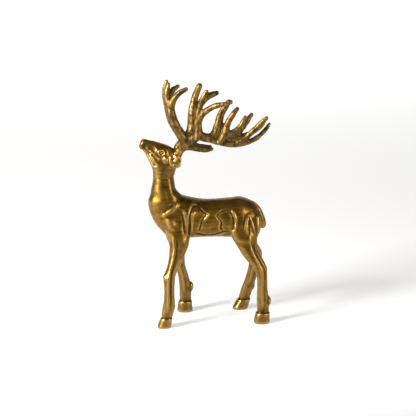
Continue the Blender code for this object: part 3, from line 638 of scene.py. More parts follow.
# Lines chased into the body, from the shoulder: the curve (X and height), its width and its
# height. A negative height is a groove.
FLANK_LINES = (
    # shoulder blade: a fold slanting up and back, and the groove above it
    (((-16.0, 110.0), (-14.6, 112.9), (-9.0, 116.8), (-3.6, 120.6), (-0.4, 126.0)), 2.3, 0.95),
    (((-15.0, 116.0), (-10.2, 119.4), (-5.0, 123.9)), 2.0, -0.5),
    # jagged groove down the ribs, with a lip behind it
    (((20.7, 119.2), (23.4, 116.3), (26.5, 113.5), (26.9, 111.7), (23.4, 107.2),
      (22.5, 104.5), (20.3, 95.4)), 0.72, -0.72),
    (((22.3, 119.0), (25.0, 116.4), (28.2, 113.6), (28.6, 111.0), (25.2, 106.6)), 0.9, 0.55),
    # jagged groove down the flank, with a lip before it
    (((50.3, 116.7), (44.0, 115.5), (39.5, 112.1), (38.1, 110.3), (41.4, 105.7),
      (42.7, 102.7), (41.8, 99.2), (43.1, 96.3), (44.9, 93.4)), 0.72, -0.72),
    (((39.9, 105.4), (41.0, 102.6), (40.0, 99.0), (41.0, 95.6)), 0.9, 0.45),
    # edge of the belly: a groove, and the swelling below it
    (((13.5, 93.8), (17.9, 92.7), (25.2, 90.6), (35.0, 90.2), (41.4, 92.2), (47.6, 94.3),
      (51.1, 93.2)), 1.0, -0.7),
    (((14.0, 91.0), (20.0, 89.2), (30.0, 88.0), (40.0, 89.0), (48.0, 91.2)), 1.6, 0.45),
    # front of the thigh: a ridge, and the groove before it
    (((53.0, 117.0), (55.7, 110.5), (57.1, 105.9), (56.6, 100.0), (56.1, 94.8)), 1.3, 0.75),
    (((51.0, 115.0), (53.4, 109.0), (54.6, 104.0), (54.2, 95.0)), 1.0, -0.55),
    # behind the shoulder: a groove that curls back at its top, between two ridges
    (((10.8, 92.5), (10.9, 104.0), (11.1, 112.3), (14.5, 120.3), (18.9, 121.1),
      (21.4, 118.4)), 1.0, -0.5),
    (((8.2, 96.0), (8.3, 108.0), (9.2, 115.0), (13.2, 122.4), (19.4, 123.6)), 1.7, 0.5),
    (((13.0, 94.5), (13.1, 104.0), (13.5, 112.0), (15.6, 116.6)), 1.1, 0.5),
    # upper foreleg: a ridge, and the groove before it
    (((4.4, 118.9), (6.0, 113.0), (6.9, 106.0), (7.8, 92.0)), 1.3, 0.65),
    (((2.2, 117.0), (4.0, 108.0), (4.8, 94.0)), 1.1, -0.5),
    # thigh: a pointed arch round a groove, with a shallow groove on either side
    (((65.9, 92.0), (67.4, 102.0), (69.9, 110.4), (72.4, 104.2), (76.4, 91.0)), 1.7, 0.5),
    (((69.2, 91.0), (70.0, 99.0), (70.6, 104.6), (72.4, 98.0), (74.0, 91.0)), 1.4, -0.45),
    (((63.0, 93.0), (64.8, 103.0), (67.0, 111.0)), 1.5, -0.35),
    (((78.6, 92.0), (76.2, 100.0), (73.6, 109.0)), 1.5, -0.35),
    # side of the neck: a long hollow, and the muscle behind it
    (((-13.6, 160.0), (-13.6, 150.0), (-12.6, 140.3), (-10.0, 130.5), (-9.0, 124.5)), 3.4, -0.6),
    (((-8.0, 160.0), (-7.8, 150.0), (-7.0, 140.0), (-4.2, 131.0), (0.6, 126.0)), 3.2, 0.35),
)
# Bone and tendon down each foreleg and each hind leg, from the shoulder too
FORELEG_LINES = {
    LEFT: (
        (((-6.6, 96.0), (-6.0, 88.0), (-5.6, 78.0), (-7.6, 68.0), (-10.4, 58.0),
          (-12.4, 46.0), (-12.6, 30.0), (-13.6, 16.0)), 1.5, 0.6),
        (((-2.6, 94.0), (-2.4, 84.0), (-3.8, 74.0), (-6.4, 64.0), (-9.4, 54.0),
          (-10.0, 40.0), (-10.0, 24.0)), 1.3, -0.5),
    ),
    RIGHT: (
        (((-5.0, 94.0), (-3.4, 80.0), (0.8, 66.0), (3.4, 52.0), (7.4, 38.0),
          (9.6, 20.0)), 1.5, 0.45),
    ),
}
HIND_LEG_LINES = {
    LEFT: (
        (((70.0, 92.0), (70.6, 82.0), (73.6, 72.0), (79.6, 60.0), (82.4, 48.0),
          (82.2, 30.0), (82.6, 16.0)), 1.5, 0.55),
        (((74.6, 84.0), (76.6, 74.0), (81.4, 64.0), (85.4, 56.0), (85.6, 44.0)), 1.3, -0.5),
    ),
    RIGHT: (
        (((70.0, 92.0), (73.4, 80.0), (79.4, 68.0), (82.4, 56.0), (80.4, 42.0),
          (76.8, 26.0)), 1.5, 0.45),
    ),
}
FLANK_CLEAR, FLANK_FADE = 1.0, 5.0       # flank lines start this far above the leg joint
NECK_BELOW, NECK_BEHIND = 9, 30          # the collar line is drawn only this near the collar
BODY_UNEVEN = ((0.10, 3.1, 3), (0.22, 7.0, 4))
BODY_CLIP, HEAD_CLIP = (-1, 1.2), (-1, 1.3)    # lowest and highest hollow


def drawn(flat, lines):
    """Sum of the strokes of lines given from the shoulder, on the flat view of one side."""
    total = np.zeros(len(flat))
    for path, width, height in lines:
        total += stroke(flat, np.array(path) + (SHOULDER_X, 0.0), width, height)
    return total


def collar_line(points):
    """Depth of the fine groove round the neck: COLLAR_GROOVE times the bell of the height
    over the collar.
    """
    return COLLAR_GROOVE * bell(points[:, 2] - COLLAR[2], COLLAR_REACH)


def chase_body(shape):
    """Rise of the body's skin: folds of shoulder, flank and thigh, bone and tendon of the legs,
    the line round the neck, and the unevenness of a casting.
    """
    points = shape.points
    rise = np.zeros(len(points))
    over_legs = np.clip((points[:, 2] - JOINT_Z - FLANK_CLEAR) / FLANK_FADE, 0, 1)
    for side in SIDES.values():
        flat, weight = side_view(points, side, inner=5.5, fade=3.0)
        rise += drawn(flat, FLANK_LINES) * (weight * over_legs)
    ahead = points[:, 0] < SPLIT_X
    for leg_lines, own in ((FORELEG_LINES, ahead), (HIND_LEG_LINES, ~ahead)):
        for side, lines in leg_lines.items():
            flat, weight = side_view(points, side, inner=9.0, fade=3.0)
            rise += drawn(flat, lines) * (weight * own)
    on_neck = ((points[:, 2] > COLLAR[2] - NECK_BELOW)
               & (points[:, 0] < COLLAR[0] + NECK_BEHIND))
    rise -= on_neck * collar_line(points)
    rise += unevenness(points, BODY_UNEVEN)
    return rise


CORONET_OVER, CORONET_REACH, CORONET_DEPTH = 0.7, 0.75, 0.42
CLEFT_REACH, CLEFT_DEPTH, CLEFT_START, CLEFT_FADE = 0.75, 0.9, 0.5, 3.0
LEG_INNER, LEG_MARGIN = 8, 4     # a leg's points stand this far out, and this near its CAD box


def chase_hooves(shape):
    """Rise of the hooves: a groove round each coronet, the bell of the height over it, and the
    cleft that parts the toes, the bell of the distance from the hoof's middle, which deepens
    evenly from CLEFT_START below the coronet over CLEFT_FADE.
    """
    points = shape.points
    rise = np.zeros(len(points))
    for word, side in SIDES.items():
        cleft = bell(points[:, 1] - side * STANCE_SOLE, CLEFT_REACH)
        for end in ("fore", "hind"):
            low, high = span(f"leg_{end}_{word}")
            own = points[:, 1] * side > LEG_INNER
            own &= (points[:, 0] > low[0] - LEG_MARGIN) & (points[:, 0] < high[0] + LEG_MARGIN)
            tall = HOOF_TOP[f"{end}_{word}"]
            coronet = bell(points[:, 2] - tall - CORONET_OVER, CORONET_REACH)
            rise -= own * CORONET_DEPTH * coronet
            deepening = np.clip((tall - CLEFT_START - points[:, 2]) / CLEFT_FADE, 0, 1)
            rise -= own * CLEFT_DEPTH * cleft * deepening
    return rise


def make_body():
    """Chase the body's skin, stand it on the floor and cut it into two shells and four legs.

    Its hollow is the depth below the softened skin, less 0.2 times each fold's rise over 0.15,
    which makes the folds bright from rubbing and a painted highlight.
    """
    shape = body_shape()
    normal = shape.normals()
    folds = chase_body(shape)
    shape.points += normal * (folds + chase_hooves(shape))[:, None]
    shape.relax(2)
    shape.points[:, 2] = np.maximum(shape.points[:, 2], 0.0)
    # folds lose hollow: bright from rubbing and a painted highlight
    rub_shine_hollow = 0.2 * np.maximum(folds - 0.15, 0)
    hollow = np.clip(shape.hollows(times=14, scale=0.22) - rub_shine_hollow, *BODY_CLIP)
    collar = ((0, 0, COLLAR[2]), (0, 0, 1))
    over_joint = ((0, 0, JOINT_Z), (0, 0, -1))
    under_joint = ((0, 0, JOINT_Z), (0, 0, 1))
    for word, side in SIDES.items():
        seam = ((0, SEAM_Y, 0), (0, -side, 0))
        casting(f"shell_{word}", shape, hollow, [collar, seam, over_joint], BODY_METAL,
                [f"body_shell_{word}"])
        for end, turn in (("fore", 1), ("hind", -1)):
            parting = ((SPLIT_X, 0, 0), (turn, 0, 0))
            casting(f"{end}_leg_{word}", shape, hollow, [under_joint, seam, parting],
                    BODY_METAL, [f"leg_{end}_{word}"])


# ---- head -----------------------------------------------------------------------------------

# Face: X and Z from the collar, half height, half width of each upright section
FACE = ((-24.7, 31.8, 1.0, 1.6), (-23.9, 32.3, 2.5, 3.1), (-22.7, 33.3, 4.2, 4.1),
        (-21.2, 33.8, 5.3, 4.6), (-19.6, 33.3, 6.1, 4.8), (-17.4, 31.8, 7.1, 4.9),
        (-14.0, 29.4, 8.4, 5.3),
        (-9.6, 27.2, 9.8, 6.2), (-4.6, 24.5, 10.7, 7.5), (0.6, 22.4, 11.1, 8.6),
        (5.6, 20.9, 10.4, 8.8), (10.4, 19.4, 8.6, 8.0),
        (14.0, 18.9, 5.9, 6.2), (15.8, 18.7, 2.2, 2.6))
# Jaw and throat: Z and X from the collar, half length, half width
THROAT = ((-5, -1.2, 10.6, 9.8), (0.0, -1.0, 10.3, 9.4), (3.5, -0.3, 10.9, 9.2),
          (8.4, 0.1, 11.8, 8.8), (13.5, 0.4, 14.0, 8.3), (19.0, -0.9, 15.3, 7.6),
          (24.5, -7.6, 11.2, 5.8), (28.0, -13.6, 7.5, 4.5), (31.0, -17.6, 5.4, 3.6))


def from_collar(x, out, up, side=1):
    """Point at X, outwards and up from the middle of the collar, on one side."""
    return np.array((COLLAR[0] + x, side * out, COLLAR[2] + up))


def collar_bar(rows, side, **detail):
    """Bar whose rows hold X, outwards and up from the collar, then the radius."""
    return bar([(*from_collar(x, out, up, side), radius) for x, out, up, radius in rows],
               **detail)


def distance_from(flat, spot, stretch=(1.0, 1.0)):
    """Distance from a spot, each axis multiplied by its stretch first."""
    return np.linalg.norm((flat - spot) * stretch, axis=1)


# Brow and cheek: X, outwards and up from the collar, then the radii
HEAD_BALLS = (((-4.6, 5.2, 27.6), (5.6, 3.0, 3.8)), ((1.2, 6.4, 19.4), (4.6, 3.2, 4.4)))
# Stub that carries an antler: X, outwards and up from the collar, then the radius
ANTLER_STUB = ((10.6, 3.0, 17.6, 4.2), (12.6, 4.8, 22.4, 4.4), (14.6, 6.2, 27.2, 4.3),
               (16.2, 7.0, 29.8, 4.3))


def head_shape():
    """Face, throat, brows, cheeks and the antlers' stubs as one skin with its creases filled."""
    masses = [upright_mass([(COLLAR[0] + x, 0.0, COLLAR[2] + z, a, b) for x, z, a, b in FACE],
                           steps=6, spokes=56, square=0.03),
              level_mass([(COLLAR[2] + z, COLLAR[0] + x, 0.0, a, b) for z, x, a, b in THROAT],
                         steps=6, spokes=56)]
    for side in SIDES.values():
        for place, radii in HEAD_BALLS:
            masses.append(ball(from_collar(*place, side), radii))
        masses.append(collar_bar(ANTLER_STUB, side))
    return Skin(masses, HEAD_GRAIN).fill_creases(45).relax(5)


# Lines chased into the head, from the collar: the curve (X and Z), its width and its height
HEAD_LINES = (
    # three petals of folded skin behind the lips, and the grooves between them
    (((-17.4, 26.2), (-15.2, 21.6), (-12.4, 15.8), (-10.6, 12.6), (-8.0, 12.4),
      (-6.2, 14.2)), 0.95, 0.9),
    (((-14.6, 25.2), (-12.2, 20.4), (-9.8, 16.8), (-6.4, 14.0)), 1.2, 1.45),
    (((-14.6, 28.8), (-11.4, 25.6), (-8.4, 22.4), (-4.4, 19.4)), 1.05, 1.2),
    (((-13.4, 26.4), (-10.4, 22.6), (-7.6, 19.2), (-5.2, 17.0)), 0.8, -0.2),
    (((-15.0, 31.2), (-11.8, 28.2), (-8.8, 25.0), (-6.4, 22.8)), 0.9, -0.3),
    # lips
    (((-22.0, 31.8), (-19.4, 29.8), (-16.8, 28.0), (-15.2, 26.6)), 0.9, -0.6),
    # brow, and the arc behind the eye with its groove
    (((-10.6, 32.8), (-8.8, 30.8), (-7.2, 27.4)), 1.5, 0.5),
    (((1.6, 30.0), (2.7, 28.0), (2.9, 24.4), (1.8, 22.6)), 0.8, 0.5),
    (((3.4, 29.4), (4.4, 27.0), (4.4, 24.0)), 0.8, -0.5),
    # knots and grooves of the cheek
    (((-1.6, 21.4), (0.6, 20.7), (2.2, 19.0), (2.4, 17.4)), 0.95, 0.75),
    (((-0.4, 18.2), (1.2, 17.6), (1.4, 15.8)), 0.85, -0.4),
    (((2.6, 14.0), (4.4, 12.0), (4.6, 9.4)), 1.3, 0.5),
    # hollow down the side of the throat
    (((-0.4, -14.0), (-0.6, 0.0), (1.6, 5.0), (4.4, 8.0)), 3.2, -0.5),
)
HEAD_TAPER = 0.32
FOLD_RUB_SHINE, RIM_RUB_SHINE = 0.75, 0.8      # hollow taken off folds and off the rims of the eyes: bright from rubbing, partly a painted highlight
EYE, EYE_STRETCH = (-3.6, 26.4), (0.92, 1.0)
RIM_RADIUS, RIM_REACH, RIM_HEIGHT = 2.75, 0.62, 1.15
EYEBALL_REACH, EYEBALL_HEIGHT = 1.05, 0.8
# Darkening on the top of the muzzle and on the crown, a painted reflection of the dark room above,
# and at the nape: place, reach along each axis, amount
DARKENED_SPOTS = (((-17.0, 33.5), (6.5, 4.5), 0.55), ((5.3, 8.0), (4.0, 5.0), 0.5),
                ((-1.0, 32.5), (6.0, 2.6), 0.4))
NOSTRIL, NOSTRIL_STRETCH = (-19.4, 32.4), (1.0, 0.8)
NOSTRIL_REACH, NOSTRIL_DEPTH = 1.9, 1.3
# Painted shade in and round each nostril: its reach and amount
NOSTRIL_SHADE_REACH, NOSTRIL_SHADE = 2.8, 1.3
LIP_CORNER, LIP_REACH, LIP_DEPTH = (-14.2, 26.6), 0.8, 0.6
# Front of the muzzle: where it starts in X and how much darker it is, its two openings, darker in
# and round them, and its mouth
MUZZLE_X, MUZZLE_DARKENING = -21.6, 0.35
OPENING_OUT, OPENING_UP, OPENING_STRETCH = 1.9, 34.4, (1.0, 0.7)
OPENING_REACH, OPENING_DEPTH = 0.9, 0.9
OPENING_DARKENING_REACH, OPENING_DARKENING = 1.1, 0.8
MOUTH_UP, MOUTH_DROOP, MOUTH_REACH, MOUTH_DEPTH = 31.2, 0.08, 0.5, 0.6
HEAD_UNEVEN = ((0.10, 2.2, 7), (0.12, 4.5, 8))


def chase_head(shape):
    """Rise of the head's skin, and what it adds to the hollow. Folds are strokes; an eye is a bell
    of the distance from its rim's circle with a smaller bell in the middle; nostrils, lip corners
    and mouth are bells cut in. Painted shade darkens the nostrils, a painted reflection of the dark
    room above darkens the tops of muzzle and crown, nape and muzzle front are darker, and folds
    and the rims of the eyes turn bright from rubbing and a painted highlight.
    """
    points = shape.points
    rise = np.zeros(len(points))
    darkening_and_rub = np.zeros(len(points))
    muzzle_front = np.clip(COLLAR[0] + MUZZLE_X - points[:, 0], 0, 1)
    for side in SIDES.values():
        flat, weight = side_view(points, side, inner=1.2, fade=1.6)
        flat = flat - COLLAR[[0, 2]]
        for path, width, height in HEAD_LINES:
            fold = weight * stroke(flat, path, width, height, HEAD_TAPER)
            rise += fold
            darkening_and_rub -= FOLD_RUB_SHINE * np.maximum(fold, 0)
        from_eye = distance_from(flat, EYE, EYE_STRETCH)
        rim = weight * bell(from_eye - RIM_RADIUS, RIM_REACH)
        rise += RIM_HEIGHT * rim + weight * EYEBALL_HEIGHT * bell(from_eye, EYEBALL_REACH)
        darkening_and_rub -= RIM_RUB_SHINE * rim
        # darker tops of muzzle and crown, a painted reflection of the dark room above, and a darker
        # nape
        for spot, reach, amount in DARKENED_SPOTS:
            darkening_and_rub += weight * amount * np.exp(-(((flat - spot) / reach) ** 2).sum(axis=1))
        nostril = distance_from(flat, NOSTRIL, NOSTRIL_STRETCH)
        rise -= weight * NOSTRIL_DEPTH * bell(nostril, NOSTRIL_REACH)
        # painted shade in and round the nostril
        darkening_and_rub += weight * NOSTRIL_SHADE * bell(nostril, NOSTRIL_SHADE_REACH)
        opening = distance_from(points[:, 1:], (side * OPENING_OUT, COLLAR[2] + OPENING_UP),
                                OPENING_STRETCH)
        rise -= muzzle_front * OPENING_DEPTH * bell(opening, OPENING_REACH)
        # darker in and round the opening
        darkening_and_rub += muzzle_front * OPENING_DARKENING * bell(opening, OPENING_DARKENING_REACH)
        rise -= weight * LIP_DEPTH * bell(distance_from(flat, LIP_CORNER), LIP_REACH)
    rise -= collar_line(points)
    mouth = COLLAR[2] + MOUTH_UP - MOUTH_DROOP * points[:, 1] ** 2
    rise -= muzzle_front * MOUTH_DEPTH * bell(points[:, 2] - mouth, MOUTH_REACH)
    # the front of the muzzle darker
    darkening_and_rub += muzzle_front * MUZZLE_DARKENING
    rise += unevenness(points, HEAD_UNEVEN)
    return rise, darkening_and_rub


def make_head():
    """Chase the head's skin and cut it at the collar. Its hollow is the depth below the softened
    skin plus what chase_head adds: painted shade, a painted reflection and darker spots, less
    where rubbing and a painted highlight brighten folds and eye rims.
    """
    shape = head_shape()
    rise, darkening_and_rub = chase_head(shape)
    shape.points += shape.normals() * rise[:, None]
    shape.relax(2)
    hollow = np.clip(shape.hollows(times=16, scale=0.24) + darkening_and_rub, *HEAD_CLIP)
    casting("head_casting", shape, hollow, [((0, 0, COLLAR[2]), (0, 0, -1))],
            HEAD_METAL, ["head"])


# ---- ears -----------------------------------------------------------------------------------

# Lobe, its lower part and the bed of the hollow: X, outwards and up from the collar, the
# radii and the spokes
EAR_BALLS = (((10.9, 8.8, 18.8), (5.2, 2.9, 6.6), 40), ((12.0, 9.4, 15.4), (3.8, 2.6, 4.2), 32))
EAR_BED = ((7.6, 8.4, 18.2), (3.4, 2.4, 5.4), 32)
# Rim of the ear: X, outwards and up from the collar, then the radius
EAR_RIM = ((6.6, 8.2, 24.6, 1.1), (5.4, 9.6, 22.4, 1.5), (5.0, 10.3, 19.4, 1.7),
           (5.4, 10.2, 16.6, 1.8), (7.0, 9.8, 14.0, 1.9), (9.8, 9.6, 12.4, 1.7))
EAR_KNOT, KNOT_REACH, KNOT_HEIGHT = (7.5, 21.8), 0.95, 0.6
EAR_HOLLOW, EAR_HOLLOW_STRETCH = (7.5, 21.2), (1.0, 0.62)
EAR_HOLLOW_REACH, EAR_HOLLOW_DEPTH = 1.5, 1.2
# Lines on the lobe, from the collar: the curve (X and Z), its width and its height
EAR_LINES = ((((9.6, 23.4), (10.0, 20.2), (9.6, 17.4)), 1.1, 0.35),
             (((13.9, 23.0), (15.0, 19.6), (14.6, 15.6), (12.4, 12.8)), 1.0, 0.35),
             (((13.0, 21.4), (13.4, 18.6), (12.8, 15.8)), 1.4, -0.3))
EAR_UNEVEN = ((0.16, 2.6, 11),)


def make_ear(word, side):
    """Folded ear: a round lobe hanging back, a thick front rim and a knot in the hollow between.

    The lobe is two ellipsoids, the rim a bar along its front, and hollow and knot are bells cut
    in and set on. Its hollow is the depth below the softened skin, less half of each rise over
    0.1, so the rises turn bright from rubbing and a painted highlight.
    """
    masses = [ball(from_collar(*place, side), radii, spokes)
              for place, radii, spokes in EAR_BALLS]
    masses.append(collar_bar(EAR_RIM, side))
    masses.append(ball(from_collar(*EAR_BED[0], side), *EAR_BED[1:]))
    shape = Skin(masses, HEAD_GRAIN).fill_creases(24).relax(3)
    points = shape.points
    flat, weight = side_view(points, side, inner=6.5, fade=2.0)
    flat = flat - COLLAR[[0, 2]]
    knot = bell(distance_from(flat, EAR_KNOT), KNOT_REACH)
    into = bell(distance_from(flat, EAR_HOLLOW, EAR_HOLLOW_STRETCH), EAR_HOLLOW_REACH)
    rise = weight * (KNOT_HEIGHT * knot - EAR_HOLLOW_DEPTH * into)
    for path, width, height in EAR_LINES:
        rise += weight * stroke(flat, path, width, height)
    rise += unevenness(points, EAR_UNEVEN)
    shape.points += shape.normals() * rise[:, None]
    shape.relax(2)
    # rises lose hollow: bright from rubbing and a painted highlight
    rub_shine_hollow = 0.5 * np.maximum(rise - 0.1, 0)
    hollow = np.clip(shape.hollows(times=16, scale=0.26) - rub_shine_hollow, *BODY_CLIP)
    casting(f"ear_casting_{word}", shape, hollow, [], HEAD_METAL, [f"ear_{word}"])


# ---- antlers --------------------------------------------------------------------------------

# Bars of the left antler: X, outwards and up from the collar, then the radius
ANTLER = {
    "beam": ((16.1, 6.8, 29.2, 4.3), (18.4, 8.0, 32.2, 4.5), (22.4, 10.5, 36.6, 5.0),
             (27.1, 12.5, 40.2, 4.7), (32.3, 14.0, 43.0, 4.0), (37.6, 15.0, 43.0, 3.5),
             (44.4, 16.0, 40.0, 3.4), (52.1, 17.0, 37.5, 3.2), (61.0, 17.5, 35.5, 3.2),
             (69.9, 17.5, 35.2, 3.2), (78.9, 17.5, 36.2, 2.8), (87.2, 17.0, 39.1, 2.4),
             (94.6, 16.0, 44.1, 2.3), (100.0, 15.5, 49.9, 2.2), (102.6, 15.0, 53.6, 1.5)),
    "brow": ((21.6, 10.0, 35.0, 5.0), (19.6, 10.6, 38.4, 4.9), (15.2, 12.0, 45.1, 4.8),
             (10.5, 12.5, 52.8, 4.6), (7.2, 12.0, 61.7, 4.4), (5.6, 11.5, 69.5, 4.1),
             (5.0, 11.3, 73.4, 3.7)),
    "brow_front": ((5.0, 11.2, 69.0, 3.6), (3.8, 10.6, 74.0, 3.2), (2.4, 9.5, 81.0, 2.8),
                   (2.6, 8.5, 88.6, 2.5), (4.0, 8.0, 94.4, 1.8)),
    "brow_back": ((5.5, 11.8, 70.0, 3.6), (6.8, 12.8, 76.0, 3.4), (9.0, 14.0, 81.2, 3.1),
                  (13.8, 15.0, 86.6, 2.9), (20.2, 16.0, 90.4, 2.0)),
    "trunk_tine": ((31.4, 14.0, 40.0, 5.6), (32.0, 14.0, 44.6, 5.0), (32.1, 14.5, 51.5, 4.1),
                   (32.0, 15.0, 59.6, 3.7), (32.6, 16.0, 67.6, 3.2), (34.2, 17.3, 75.2, 2.7),
                   (36.6, 18.7, 82.6, 2.4), (39.6, 20.0, 88.2, 1.9)),
    "reaching_tine": ((32.2, 15.2, 57.0, 3.5), (33.6, 16.4, 62.4, 3.4), (37.0, 19.0, 67.1, 3.1),
                      (42.3, 23.0, 71.8, 2.9), (48.5, 27.0, 75.5, 2.7), (57.0, 31.0, 77.6, 2.0)),
    "forked_tine": ((52.0, 17.1, 36.0, 4.6), (55.0, 17.4, 39.6, 4.2), (56.9, 18.0, 43.5, 3.9),
                    (58.4, 19.0, 48.2, 3.6), (59.6, 19.5, 53.7, 3.2), (61.8, 20.5, 59.6, 2.9),
                    (65.6, 21.5, 65.8, 2.7), (69.4, 22.0, 70.8, 1.9)),
    "fork_branch": ((57.9, 18.8, 44.6, 3.6), (60.8, 19.0, 45.6, 3.1), (64.4, 19.0, 46.8, 2.8),
                    (69.2, 19.0, 49.4, 2.6), (73.4, 19.0, 53.6, 2.5), (76.2, 19.0, 58.6, 2.3),
                    (77.9, 19.0, 62.0, 1.7)),
    "end_tine": ((71.0, 17.4, 35.8, 3.6), (77.4, 17.8, 40.0, 3.1), (83.2, 19.0, 45.6, 2.7),
                 (88.6, 20.4, 51.2, 2.6), (94.2, 21.4, 56.8, 2.5), (98.4, 22.0, 60.8, 2.0)),
    "low_tine": ((20.4, 9.4, 34.0, 5.2), (24.0, 8.2, 32.6, 4.7), (28.0, 7.0, 31.0, 4.0),
                 (35.1, 5.6, 28.8, 3.3), (41.4, 5.2, 27.8, 3.0), (46.6, 5.2, 28.2, 2.1)),
}
# The right antler is cast from the same bars but for these
RIGHT_ANTLER = dict(
    ANTLER,
    beam=((16.1, 6.8, 29.2, 4.6), (18.4, 8.0, 32.2, 4.8), (22.4, 10.5, 36.2, 5.2),
          (27.1, 12.5, 38.6, 5.2), (32.3, 14.0, 39.0, 5.2), (37.6, 15.0, 37.6, 4.9),
          (44.4, 16.0, 35.4, 4.6), (52.1, 17.0, 33.8, 4.4), (61.0, 17.5, 33.0, 4.0),
          (69.9, 17.5, 33.2, 3.8), (78.9, 17.5, 34.4, 3.2), (87.2, 17.0, 37.2, 2.7),
          (94.6, 16.0, 41.4, 2.4), (100.0, 15.5, 45.6, 2.2), (102.6, 15.0, 48.0, 1.5)),
    brow_back=((5.5, 11.8, 70.0, 3.6), (6.4, 12.8, 75.6, 3.4), (7.8, 14.0, 80.2, 3.1),
               (11.2, 15.0, 84.8, 2.9), (16.2, 16.0, 88.0, 2.0)),
    fork_branch=((57.9, 18.8, 44.6, 3.2), (61.5, 19.0, 45.6, 2.8), (65.5, 19.0, 47.6, 2.4),
                 (68.5, 19.0, 50.5, 2.1), (70.0, 19.0, 52.6, 1.5)),
    end_tine=((71.0, 17.4, 36.0, 4.0), (75.4, 17.6, 38.2, 3.8), (80.1, 18.5, 42.9, 3.5),
              (85.6, 20.0, 49.1, 3.1), (91.4, 22.0, 56.2, 2.2)),
    trunk_tine=tuple((x - 1.2, out, up - 1.2, max(radius * 1.35, 3.0))
                     for x, out, up, radius in ANTLER["trunk_tine"]),
    reaching_tine=tuple((x, out, up, radius * 1.3)
                        for x, out, up, radius in ANTLER["reaching_tine"]),
    forked_tine=tuple((x - 1.4, out, up - 1.6, radius * 1.22)
                      for x, out, up, radius in ANTLER["forked_tine"]))


# Web between the tines' roots and the round of the foot, and a knot of each side: the web in the
# left antler's fork, and the swelling at the tip of the right one's forked tine
ANTLER_BALLS = (((24.0, 10.8, 36.8), (7.4, 3.6, 5.4)), ((15.8, 7.0, 29.9), (5.0, 4.8, 1.7)))
ANTLER_KNOT = {LEFT: ((22.8, 11.6, 41.0), (5.0, 3.0, 6.0)),
               RIGHT: ((68.6, 22.0, 69.6), (3.6, 3.0, 2.6))}
RIPPLE_STRETCH = (1, 1, 0.6)         # the fine ripple is longer upwards
FINE_RIPPLE, COARSE_RIPPLE = ((0.5, 2.2, 21),), ((0.45, 5.0, 22),)
ANTLER_PATINA = 0.55                 # added to the hollow everywhere
FOOT_PLACE = (16.0, 6.75, 28.6)      # middle of the flat foot, from the collar
STUD_TOP, STUD_END = (15.9, 6.7, 27.4), (13.6, 5.4, 20.4)    # the foot is square to this line


def make_antler(word, side):
    """Antler: tapered bars with round tips, fused and filleted. Its skin rises by two layers of
    lumps, and its hollow is the depth below the softened skin plus ANTLER_PATINA.
    """
    bars = []
    for rows in (ANTLER if side == LEFT else RIGHT_ANTLER).values():
        bars.append(collar_bar(rows, side, steps=8, spokes=20))
        tip, radius = rows[-1][:3], rows[-1][3]
        bars.append(ball(from_collar(*tip, side), (radius,) * 3, 16))
    for place, radii in (*ANTLER_BALLS, ANTLER_KNOT[side]):
        bars.append(ball(from_collar(*place, side), radii))
    shape = Skin(bars, ANTLER_GRAIN).fill_creases(80).relax(4)
    ripple = (unevenness(shape.points * RIPPLE_STRETCH, FINE_RIPPLE)
              + unevenness(shape.points, COARSE_RIPPLE))
    shape.points += shape.normals() * ripple[:, None]
    shape.relax(2)
    hollow = np.clip(shape.hollows(times=30, scale=0.45) + ANTLER_PATINA, *BODY_CLIP)
    axis = from_collar(*STUD_TOP, side) - from_collar(*STUD_END, side)
    axis /= np.linalg.norm(axis)
    foot = (from_collar(*FOOT_PLACE, side), tuple(-axis))
    casting(f"antler_casting_{word}", shape, hollow, [foot], ANTLER_METAL,
            [f"antler_{word}"])


# ---- tail -----------------------------------------------------------------------------------

# Tail: X from the hip, height over the tail's zero, half thickness, half width
TAIL = ((9.0, 33.6, 1.2, 2.0), (12.8, 29.8, 2.3, 3.2), (16.2, 24.5, 3.1, 4.2),
        (18.4, 18.0, 3.7, 4.8), (20.1, 11.6, 4.1, 4.8), (20.8, 8.2, 3.3, 4.0),
        (20.6, 5.6, 1.6, 2.2))
TAIL_ZERO = 5                        # above the leg joint
TAIL_GROOVES, TAIL_REACH, TAIL_DEPTH = (-2.6, 0.0, 2.6), 0.55, 0.45
TAIL_UNEVEN = ((0.15, 2.0, 31),)


def make_tail():
    """Flat wedge that widens downwards from the rump and ends in a slanting edge.

    Each ring is centre + half width cos t across + half thickness sin t back, where back is
    square to the path. Its three grooves are bells of the distance across.
    """
    rows = eased(TAIL, 6)
    zero = JOINT_Z + TAIL_ZERO
    turn = np.linspace(0, 2 * np.pi, 32, endpoint=False)[None, :, None]
    centre = np.stack([HIP_X + rows[:, 0], 0 * rows[:, 0], zero + rows[:, 1]], axis=1)
    ahead = np.gradient(centre, axis=0)
    ahead /= np.linalg.norm(ahead, axis=1)[:, None]
    across = np.array((0.0, 1.0, 0.0))
    back = np.cross(ahead, across)
    rings = (centre[:, None] + rows[:, 3, None, None] * np.cos(turn) * across
             + rows[:, 2, None, None] * np.sin(turn) * back[:, None])
    shape = Skin([skin(rings)], TAIL_GRAIN).relax(3)
    points = shape.points
    grooves = np.zeros(len(points))
    for y in TAIL_GROOVES:
        grooves -= TAIL_DEPTH * bell(points[:, 1] - y, TAIL_REACH)
    shape.points += shape.normals() * (grooves + unevenness(points, TAIL_UNEVEN))[:, None]
    hollow = np.clip(shape.hollows(times=12, scale=0.2), *BODY_CLIP)
    casting("tail_casting", shape, hollow, [], BODY_METAL, ["tail"])


# ---- hidden pieces kept from the CAD --------------------------------------------------------

def dress_cad():
    """Sleeve, studs, dowels, pins and plug keep their solids and get turned brass."""
    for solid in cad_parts.values():
        if not solid.hide_render:
            solid.data.materials.clear()
            solid.data.materials.append(BARE_METAL)


# ---- studio ---------------------------------------------------------------------------------

